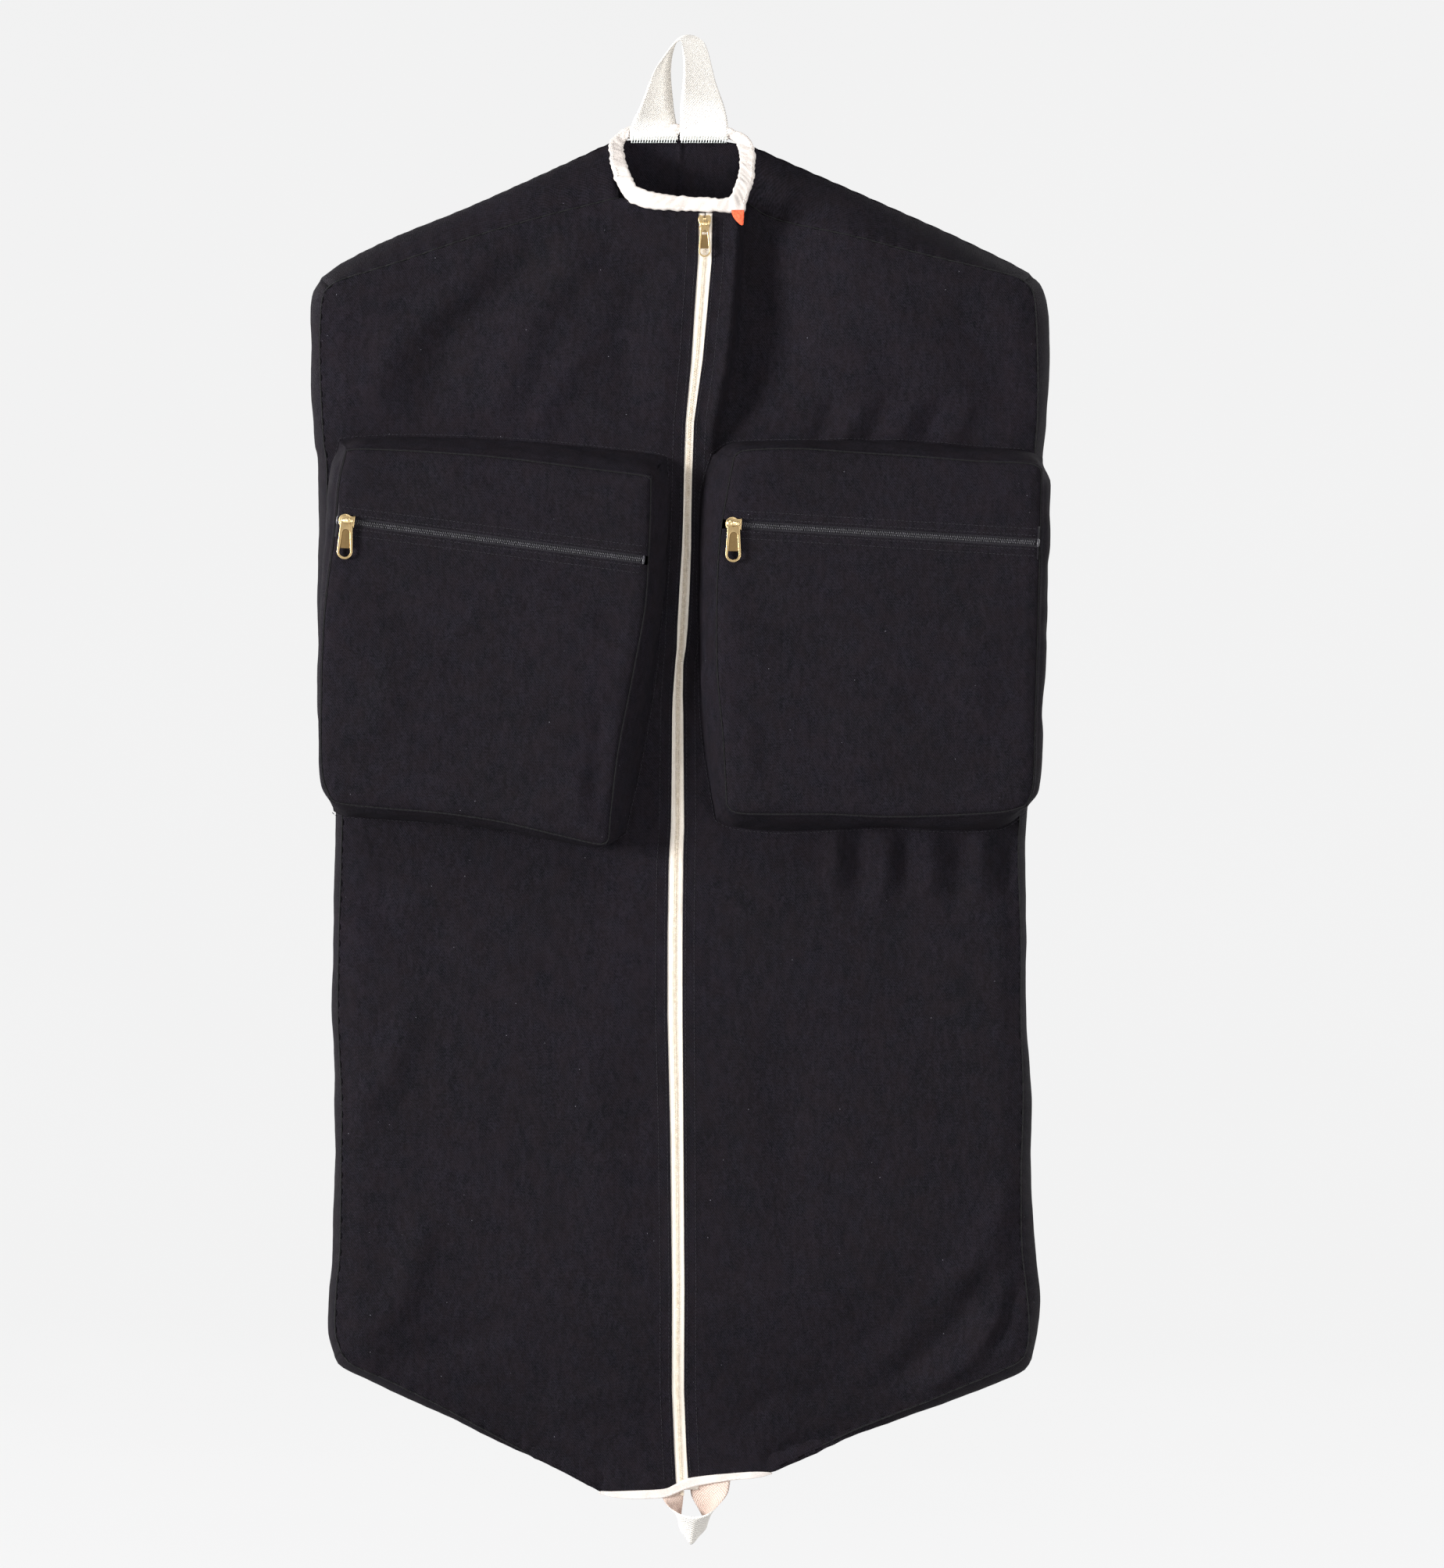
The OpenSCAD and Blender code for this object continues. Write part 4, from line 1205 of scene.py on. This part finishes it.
grid, uv, ring_in, ring_out, lift = neck_ring()
piece = grid_piece("neck_binding_strip", grid, binding, uv, round_rows=True, round_columns=True)
face_outwards(piece)
place_piece(piece, "binding", "bag_upper", "neck_binding")

seam = ring_in * 0.2 + ring_out * 0.8 + lift * 0.99
seam, lift = np.vstack([seam, seam[:1]]), np.vstack([lift, lift[:1]])
run = lengths(seam)
NECK_STITCH_PITCH, NECK_STITCH_REACH = 3.1, 1.1
parts = []
for k in range(int(run[-1] / NECK_STITCH_PITCH)):
    s = (k + 0.5) * NECK_STITCH_PITCH
    a, b = sample(seam, run, [s - NECK_STITCH_REACH, s + NECK_STITCH_REACH])
    if np.linalg.norm(b - a) > NECK_STITCH_REACH:
        parts.append(dash((a + b) / 2, b - a, sample(lift, run, [s])[0], 2.3, 0.5, 0.5))
place_piece(merge("neck_binding_thread", parts, thread_white), "binding", "bag_upper")

# The hanging loop: centre x, y, z and the turn of its width, from end to end
HANGING = [
    (-21.6, 10, -82.6, 0), (-21.6, 10, -77, 4), (-21.2, 9.8, -70, 22), (-19, 9, -58, 44),
    (-16.6, 7.5, -43, 58), (-13.4, 5, -24, 73), (-8.8, 2, -11, 82), (-3.4, 0, -2.6, 86),
    (3.5, -1, 0.6, 80), (8.8, 0, -2, 68), (11.8, 2, -8, 60), (15, 4, -22, 54),
    (17.2, 6, -38, 43), (19.2, 8, -58, 20), (20, 9.5, -68, 8), (20, 10, -76, 0),
    (20, 10, -82.6, 0),
]
LOOP_ENDS = (-21.6, 20.0)
OVERLOCK_PITCH, OVERLOCK_COUNT = 2.25, 17
stations = rounded(HANGING, 200)
turn = np.radians(stations[:, 3])
lean = 0.3 * ramp(stations[:, 2], -34, -6)
grid, uv, normal = strap_grid(stations[:, :3], unit(together(np.cos(turn), np.sin(turn), lean)),
                              40, 1.8, 19)
run = lengths(stations[:, :3])[:, None]
slack = 0.35 * waves(run, uv[..., 0], 71, 24)
slack = slack * ramp(run, 14, 34) * ramp(run, run[-1] - 14, run[-1] - 34)
piece = strap_piece("hanging_webbing", grid + normal[:, None] * slack[..., None], uv, webbing)
place_piece(piece, "webbing", "bag_upper", "hanging_loop")

# slanting overlock thread along both cut ends, and the two rows that sew them down
parts, rows = [], []
for end_x in LOOP_ENDS:
    for k in range(OVERLOCK_COUNT):
        x = end_x - 18 + k * OVERLOCK_PITCH
        parts.append(dash((x, 8.7, -82.5), (1.6, 0, 5.4), FORWARD, 5.6, 1.0, 0.9))
        parts.append(dash((x + 0.3, 9.9, -84.6), (0.25, 1, 0), (0, 0, -1), 2.4, 0.85, 0.8))
    line = [(end_x - 18.6, 8.75, -79.4), (end_x + 18.6, 8.75, -79.4)]
    parts += stitch_row(line, pitch=OVERLOCK_PITCH, length=2.2, width=0.6)
    for z in (-74.5, -79.5):
        line = [(end_x - 17, 9.0, z), (end_x + 17, 9.0, z)]
        rows += stitch_row(line, pitch=3.1, length=2.5, width=0.55)
place_piece(merge("webbing_overlock", parts, thread_grey), "webbing", "bag_upper")
place_piece(merge("webbing_seam", rows, thread_white), "webbing", "bag_upper")

# Bottom binding: a strip folded over the closed hem, thin at its ends
HEM_STRIP = [
    (-67, -1204.6, -67, -1206.4), (-54, -1204, -55, -1209.4), (-38, -1203.4, -38, -1210.8),
    (-14, -1202, -14, -1209.8), (-4.4, -1198.4, -2, -1205.8), (6, -1193.4, 9.7, -1201.4),
    (26, -1190.4, 28.5, -1197.4), (50, -1188.4, 50, -1194.6), (64, -1187.8, 65, -1193.2),
    (76.5, -1188.8, 76.5, -1190.2)]
grid, uv, upper_edge, lower_edge = strap_between([s + (MIDDLE, MIDDLE) for s in HEM_STRIP],
                                                 6.4, 150, 13)
run = lengths(upper_edge)[:, None]
share = run / run[-1]
ends = 0.25 + 0.75 * ramp(share, 0, 0.12) * ramp(share, 1, 0.88)
grid[..., 1] = MIDDLE + (grid[..., 1] - MIDDLE) * ends + 0.45 * waves(run, uv[..., 0], 82, 8)
piece = strap_piece("bottom_binding_strip", grid, uv, binding)
place_piece(piece, "binding", "bag_lower", "bottom_binding")
BARE_ENDS = 18  # rows at each end without stitches
line = (0.25 * upper_edge + 0.75 * lower_edge)[BARE_ENDS:-BARE_ENDS] + [0, -3.2, 0]
parts = stitch_row(line, pitch=3.1, length=2.4, width=0.5, rise=0.0)
place_piece(merge("bottom_binding_thread", parts, thread_white), "binding", "bag_lower")

# The carry loop under the base: its front edge sags between the legs and its back edge
# hangs lower, so the outside of the loop shows below and the inside above
CARRY = [
    (-14, -1206.5, 3.2, -1200.5, -14, -14), (-13.8, -1211, 2.8, -1211, -16, -11),
    (-9, -1217.5, 1.4, -1222, -21, -4), (0, -1223.2, 0, -1234, -26, 2),
    (6, -1225, 4.4, -1242, -28, 4), (11.9, -1225.6, 9.5, -1248.4, -28, 5),
    (18, -1224.8, 15.8, -1242, -28, 4), (25, -1222, 22, -1233, -28, 2),
    (33, -1215, 16.5, -1221, -26, -3), (40, -1205.5, 9.8, -1208.5, -20, -9),
    (42.3, -1192.4, 8.4, -1197.4, -14, -14)]
WEBBING_COLUMNS = 19
grid, uv, _, _ = strap_between(CARRY, 1.7, 140, WEBBING_COLUMNS)
piece = strap_piece("carry_webbing", grid, uv, webbing)
# the faces on the loop's inner side get the darker webbing copy: painted shade where the lamps light
# them fully
piece.data.materials.append(webbing_painted_shade)
rows, columns = grid.shape[:2]
for face in piece.data.polygons:
    if face.index < (rows - 1) * columns and face.index % columns >= WEBBING_COLUMNS - 1:
        face.material_index = 1
place_piece(piece, "webbing", "bag_lower", "carry_loop")

# A small blank tag caught in the end of the neck binding
t, w = np.linspace(0, 1, 14)[:, None], np.linspace(0, 1, 12)
left_edge, right_edge = 42.7 + 6.4 * t ** 2, 53.2 - 0.6 * t
grid = together(left_edge + (right_edge - left_edge) * w,
                FRONT - 4.6 - 1.3 * t * np.sin(w * 3.0) + 0.6 * t,
                -149.0 - 11.4 * t - 1.2 * t * np.sin(w * 2.6))
piece = cloth("tag", grid, orange, grid[..., [0, 2]], True, 0.7)
place_piece(piece, "tag", "bag_upper", "neck_tag")


# ---------------------------------------------------------------- sliders and pullers

def circle(x, z, radius, count=28):
    return [(x + radius * cos(2 * pi * k / count), z + radius * sin(2 * pi * k / count))
            for k in range(count)]


def wrap(points):
    """The convex outline round some points."""
    return [points[i] for i in convex_hull_2d(points)]


def plate(outer, holes, y_front, y_back, bevel):
    """A flat plate with rounded edges: its outline and holes as (x, z)."""
    curve = bpy.data.curves.new("plate", "CURVE")
    curve.dimensions = "2D"
    curve.fill_mode = "BOTH"
    for loop in [outer] + list(holes):
        spline = curve.splines.new("POLY")
        spline.points.add(len(loop) - 1)
        for point, (x, z) in zip(spline.points, loop):
            point.co = (x, z, 0, 1)
        spline.use_cyclic_u = True
    curve.extrude = (y_back - y_front) / 2 - bevel
    curve.bevel_depth = bevel
    curve.bevel_resolution = 2
    curve.offset = -bevel
    holder = bpy.data.objects.new("plate", curve)
    bpy.context.scene.collection.objects.link(holder)
    bpy.context.view_layer.update()
    mesh = bpy.data.meshes.new_from_object(
        holder.evaluated_get(bpy.context.evaluated_depsgraph_get()))
    bpy.data.objects.remove(holder)
    flat = np.zeros(len(mesh.vertices) * 3)
    mesh.vertices.foreach_get("co", flat)
    flat = flat.reshape(-1, 3)
    points = np.column_stack([flat[:, 0], (y_front + y_back) / 2 - flat[:, 2], flat[:, 1]])
    faces = [tuple(p.vertices) for p in mesh.polygons]
    bpy.data.meshes.remove(mesh)
    return points, faces


def lathe(x, z, profile, turns=28):
    """A turned part about an axis along Y: profile rows are (radius, y)."""
    rings = []
    for r, y in profile:
        for k in range(turns):
            a = 2 * pi * k / turns
            rings.append((x + r * cos(a), y, z + r * sin(a)))
    return np.array(rings), tube_faces(len(profile), turns)


def axle(place, profile, turns):
    """A turned part about an axis along X: profile rows are (radius, x)."""
    points, faces = lathe(0, 0, profile, turns)
    return np.array(place) + points[:, [1, 0, 2]], faces


def turned_part(part, centre, degrees):
    """Turns a part about the Y axis through centre (x, z)."""
    points = part[0].copy()
    a = radians(degrees)
    x, z = points[:, 0] - centre[0], points[:, 2] - centre[1]
    points[:, 0] = centre[0] + x * cos(a) + z * sin(a)
    points[:, 2] = centre[1] - x * sin(a) + z * cos(a)
    return points, part[1]


def moved(loop, x, z):
    return [(p[0] + x, p[1] + z) for p in loop]


def closed_curve(points, count):
    return [tuple(p) for p in rounded(points + points[:1], count + 1)[:-1]]


METAL_WELD = 0.00002  # metres


def metal_piece(name, parts, body, *nodes, material=None):
    piece = merge(name, parts, material or brass)
    face_outwards(piece, METAL_WELD)
    piece.data.set_sharp_from_angle(angle=radians(50))
    place_piece(piece, "brass", body, *nodes)


def node_box(node):
    """The middle x and z of a CAD node, and its front and back depths."""
    low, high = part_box(node)
    return (low.x + high.x) / 2 / MM, (low.z + high.z) / 2 / MM, low.y / MM, high.y / MM


def puller_parts(top_r, foot_r, length, rail, y_front, y_back, eye_r, gap=0.0):
    """A puller hanging from an eye at (0, 0): a raised rail and the recessed plate inside
    it, with an open foot. gap leaves the window open that far above the plate."""
    foot_z = -(length - foot_r)
    outer = wrap(circle(0, 0, top_r) + circle(0, foot_z, foot_r))
    window_top = -top_r * 0.95 - 2.2
    inner_top = top_r - rail + 0.3
    inner = wrap(circle(0, window_top - inner_top, inner_top) + circle(0, foot_z, foot_r - rail))
    frame_part = plate(outer, [inner, circle(0, 0, eye_r)], y_front, y_back, 0.42)
    depth = y_back - y_front
    low, top = foot_z + foot_r * 0.42, window_top + 0.6 - gap
    half_top, half_low = inner_top + 0.5 + 0.05 * gap, foot_r - rail + 0.45
    web = [(-half_top, top), (half_top, top), (half_low, low), (-half_low, low)]
    floor = plate(web, [], y_front + depth * 0.45, y_back - depth * 0.12, 0.12)
    return frame_part, floor


def hang_part(part, x, z, degrees=0.0):
    """Moves a part drawn about (0, 0) to its pin and tilts it there."""
    return turned_part((part[0] + np.array([x, 0, z]), part[1]), (x, z), degrees)


# Main slider: two shield-shaped plates, the post between them and the side flanges
x, z, front_y, rear_y = node_box("main_slider_body")
shield = [(-3.4, 6.9), (-4.6, 6.0), (-5.2, 4.2), (-5.1, 1.8), (-4.2, -1.2), (-3.9, -4.6),
          (-3.3, -6.4), (-2.0, -7.1), (2.0, -7.1), (3.3, -6.4), (3.9, -4.6), (4.2, -1.2),
          (5.1, 1.8), (5.2, 4.2), (4.6, 6.0), (3.4, 6.9), (1.2, 6.2), (0, 5.9), (-1.2, 6.2)]
shield = moved(closed_curve(shield, 56), x, z)
post = moved(wrap(circle(0, 4.6, 1.6) + circle(0, 0.5, 1.1)), x, z)
parts = [plate(shield, [], front_y, front_y + 1.5, 0.5),
         plate(shield, [], rear_y - 1.5, rear_y, 0.4),
         plate(post, [], front_y + 1.2, rear_y - 1.2, 0.1)]
for way in (-1, 1):
    flange = [(way * 5.0, 4.0), (way * 4.2, -1.0), (way * 3.8, -5.8), (way * 3.0, -5.8),
              (way * 3.4, -1.0), (way * 4.1, 4.0)]
    parts.append(plate(moved(flange, x, z), [], front_y + 1.2, front_y + 2.3, 0.1))
metal_piece("main_slider", parts, "main_slider", "main_slider_body")

# its crown: two ears, the pin through them and the arch from the nose to the pin
pin_x, pin_z, crown_front, crown_back = node_box("main_slider_crown")
ear = wrap([(crown_back + 0.4, pin_z + 2.6), (crown_back + 0.4, pin_z - 2.4)]
           + circle(crown_front + 1.7, pin_z, 1.7, 20))
parts = []
for way in (-1, 1):
    points, faces = plate(ear, [], -0.6, 0.6, 0.18)
    parts.append((points[:, [1, 0, 2]] + np.array([pin_x + way * 3.2, 0, 0]), faces))
parts.append(axle((pin_x, crown_front + 1.6, pin_z), [(0.9, -3.6), (0.9, 3.6)], 18))
arch = rounded([(pin_x, front_y + 0.2, z + 5.8), (pin_x, front_y - 1.7, z + 5.2),
                (pin_x, crown_front - 0.2, z + 3.2), (pin_x, crown_front - 0.5, pin_z + 2.4),
                (pin_x, crown_front + 0.1, pin_z + 1.1)], 24)
grid, _, _ = strap_grid(arch, np.tile([1.0, 0, 0], (24, 1)), 3.4, 1.3, 9)
parts.append((grid.reshape(-1, 3), tube_faces(*grid.shape[:2])))
metal_piece("main_slider_bridge", parts, "main_slider", "main_slider_crown")

_, _, pull_front, pull_back = node_box("main_puller")
pull_front, pull_back = pull_front + 1.2, pull_back - 1.2
pull, floor = puller_parts(3.1, 4.9, 27, 1.25, pull_front, pull_back, 1.45, 4.0)
metal_piece("main_pull_floor", [hang_part(floor, pin_x, pin_z)], "main_puller", material=brass_dark)
barrel = axle((pin_x, (pull_front + pull_back) / 2, pin_z),
              [(1.35, -2.2), (1.85, -1.7), (1.85, 1.7), (1.35, 2.2)], 22)
metal_piece("main_pull", [hang_part(pull, pin_x, pin_z), barrel], "main_puller", "main_puller")

# Pocket sliders: a body, a crown of a bar and one or two domes, and a puller
BODY_OUTLINE = [(-6.6, 0), (-6.2, 2.6), (-4.6, 4.6), (-2.2, 5.5), (0.6, 5.4), (3.6, 4.1),
                (6.0, 4.7), (6.3, 4.2), (6.3, -4.2), (6.0, -4.7), (3.6, -4.1), (0.6, -5.4),
                (-2.2, -5.5), (-4.6, -4.6), (-6.2, -2.6)]

# How far each slider and its puller hang askew, in degrees
SLIDER_LEAN = {LEFT: 7.4, RIGHT: 3.5}
PULLER_TILT = {LEFT: 3.6, RIGHT: 1.0}


def pocket_crown(side, x, z, top):
    """The bar over the slider and the domes on it, where top is its foremost depth."""
    if side == LEFT:
        dome = [(0.0, -1.1), (1.2, -1.0), (2.1, -0.5), (2.5, 0.3), (2.2, 1.0)]
        return [dash((x + 0.9, top + 0.55, z + 0.2), (1, 0, -0.1), FORWARD, 8.6, 4.3, 2.5),
                lathe(x + 2.0, z + 0.1, [(r, top + y) for r, y in dome], 24)]
    large = [(0.0, -1.3), (1.4, -1.1), (2.5, -0.5), (3.0, 0.3), (2.7, 1.1)]
    small = [(0.0, -0.9), (0.9, -0.8), (1.6, -0.3), (1.8, 0.3), (1.6, 0.9)]
    return [dash((x - 0.2, top + 0.55, z + 0.2), (1, 0, -0.08), FORWARD, 9.6, 3.4, 2.0),
            lathe(x - 3.2, z + 0.5, [(r, top + y) for r, y in large], 26),
            lathe(x + 3.4, z - 0.2, [(r, top + y) for r, y in small], 22)]


for side in (LEFT, RIGHT):
    name = side_name(side)
    x, z, y0, y1 = node_box(f"{name}_slider_body")
    body = moved(closed_curve(BODY_OUTLINE, 60), x, z)
    post = moved(wrap(circle(-3.6, 0, 1.5) + circle(0, 0, 1.0)), x, z)
    parts = [plate(body, [], y0, y0 + 1.5, 0.5), plate(body, [], y1 - 1.5, y1, 0.4),
             plate(post, [], y0 + 1.2, y1 - 1.2, 0.1)]
    parts = [turned_part(part, (x, z), SLIDER_LEAN[side]) for part in parts]
    metal_piece(f"{name}_slider", parts, f"{name}_slider", f"{name}_slider_body")
    _, _, top, _ = node_box(f"{name}_slider_crown")
    parts = [lathe(x, z, [(1.5, y0 + 0.4), (1.5, top + 0.5)], 20)] + pocket_crown(side, x, z, top)
    metal_piece(f"{name}_slider_bridge", parts, f"{name}_slider", f"{name}_slider_crown")
    _, _, pull_front, pull_back = node_box(f"{name}_puller")
    pull, floor = puller_parts(4.8, 6.3, 31, 1.9, pull_front, pull_back, 1.8)
    tilt = PULLER_TILT[side]
    metal_piece(f"{name}_pull_floor", [hang_part(floor, x, z, tilt)], f"{name}_puller",
                material=brass_dark)
    metal_piece(f"{name}_pull", [hang_part(pull, x, z, tilt)], f"{name}_puller", f"{name}_puller")


# ---------------------------------------------------------------- stitching

def thread_piece(name, parts, body, material=thread_black):
    place_piece(merge(name, parts, material), "canvas", body)


def runs_kept(points, keep):
    """The stretches of a line of points that are kept, where longer than 8 points."""
    cuts = np.flatnonzero(np.diff(np.concatenate([[0], keep.astype(int), [0]])))
    return [points[first:last] for first, last in zip(cuts[::2], cuts[1::2]) if last - first > 8]


parts = []
for side in (LEFT, RIGHT):
    for off in (2.4, 9.6):
        z = np.linspace(ZIP_TOP - 8, ZIP_END + 6, SEAM_SAMPLES)
        parts += stitch_row(on_front(together(zip_x(z) + side * (zip_half(z) + off), z)))
thread_piece("main_zip_stitching", parts, BENDS)

parts = []
for x in (-4.5, 4.5):
    z = np.linspace(BACK_TOP - 4, BACK_END + 8, SEAM_SAMPLES)
    parts += stitch_row(together(x, back_depth(x, z), z), pitch=3.6, length=2.6, rise=0.1, up=-FORWARD)
thread_piece("back_seam_stitching", parts, BENDS)

for side in (LEFT, RIGHT):
    start, along, up, length = pocket_zip_frame(side)
    parts = []
    for off in (5.6, 11.0, -5.6, -11.0):
        p = start + along * np.linspace(5, length - 5, 400)[:, None] + up * off
        line = together(p[:, 0], pocket_depth(side, p[:, 0], p[:, 1]), p[:, 1])
        parts += stitch_row(line, pitch=3.1, length=2.4)
    base_loop = pocket_loops[side][1]
    ring = base_loop + unit(base_loop - base_loop.mean(axis=0)) * [3.0, 0, 3.0]
    ring = np.vstack([ring, ring[:1]])
    inside = (np.abs(ring[:, 0]) < 284) & (np.abs(ring[:, 0] - zip_x(ring[:, 2])) > 9)
    for line in runs_kept(on_front(ring[:, [0, 2]]), inside):
        parts += stitch_row(line, rise=0.15)
    thread_piece(f"{side_name(side)}_pocket_stitching", parts, "bag_upper")

# near-black strips along the shell's front seams and round the pockets' front edges: painted shade
# standing in for the shadow in the sunk seams
parts = []
for side in (LEFT, RIGHT):
    seam = grids[side][0][:, 0] + [0, -0.2, 0]
    parts += stitch_row(seam, pitch=5.0, length=6.4, width=1.3, rise=0.0, wobble=0)
thread_piece("shell_seam_sewing", parts, BENDS, seam_thread)
for side in (LEFT, RIGHT):
    front_loop = pocket_loops[side][0]
    ring = np.vstack([front_loop, front_loop[:1]]) + [0, -0.2, 0]
    parts = stitch_row(ring, pitch=4.0, length=5.2, width=1.3, rise=0.0, wobble=0)
    thread_piece(f"{side_name(side)}_pocket_seam_sewing", parts, "bag_upper", seam_thread)


# ---------------------------------------------------------------- studio and camera

def studio():
    """A round white cove, so that every side of the bag has the same plain background."""
    floor_z, radius, curve, height = -1650.0, 5200.0, 1400.0, 3600.0
    profile = [(0.0, floor_z), (1500.0, floor_z), (radius - curve, floor_z)]
    for k in range(1, 13):
        turn = k / 12 * pi / 2
        profile.append((radius - curve + curve * sin(turn), floor_z + curve * (1 - cos(turn))))
    profile.append((radius, height))
    around = 72
    points = [(r * cos(2 * pi * k / around), r * sin(2 * pi * k / around), z)
              for r, z in profile for k in range(around)]
    faces = grid_faces(len(profile), around, round_columns=True, flip=True)
    piece = mesh_piece("studio_cove", points, faces, floor_material())
    piece.visible_diffuse = False
    piece.visible_shadow = False


def area_light(name, place, aim, size, power):
    """A white panel of light, with its place, aim and size in metres and power in watts."""
    data = bpy.data.lights.new(name, "AREA")
    data.shape = "RECTANGLE"
    data.size, data.size_y = size
    data.energy = power
    light = bpy.data.objects.new(name, data)
    bpy.context.scene.collection.objects.link(light)
    light.location = place
    light.rotation_euler = (Vector(aim) - Vector(place)).to_track_quat("-Z", "Y").to_euler()


studio()
area_light("key", (-3.3, -2.0, -0.3), (0, 0, -0.8), (1.0, 1.0), 300)
area_light("fill", (2.5, -2.9, -0.9), (0, 0, -0.8), (1.8, 1.8), 50)
area_light("floor_bounce", (1.6, -2.2, -1.5), (0.1, 0, -1.0), (2.0, 1.0), 24)
area_light("top", (0.2, -1.8, 1.8), (0, 0, -0.1), (1.2, 1.2), 40)
area_light("back_left", (-2.6, 2.4, 0.8), (0, 0, -0.6), (1.6, 2.0), 46)
area_light("back_right", (2.6, 2.4, 0.8), (0, 0, -0.6), (1.6, 2.0), 46)

world = bpy.data.worlds.new("soft_daylight")
bpy.context.scene.world = world
world.use_nodes = True
sky = world.node_tree.nodes["Background"]
sky.inputs["Color"].default_value = (1.0, 1.0, 1.0, 1.0)
sky.inputs["Strength"].default_value = 0.3

camera_data = bpy.data.cameras.new("camera")
camera_data.sensor_width = SENSOR
camera_data.lens = SENSOR * -EYE_Y / VIEW_HEIGHT
camera_data.clip_end = 50
camera = bpy.data.objects.new("camera", camera_data)
bpy.context.scene.collection.objects.link(camera)
camera.location = (EYE_X * MM, EYE_Y * MM, EYE_Z * MM)
camera.rotation_euler = (radians(90), 0, 0)
bpy.context.scene.camera = camera
bpy.context.scene.view_settings.view_transform = "Standard"
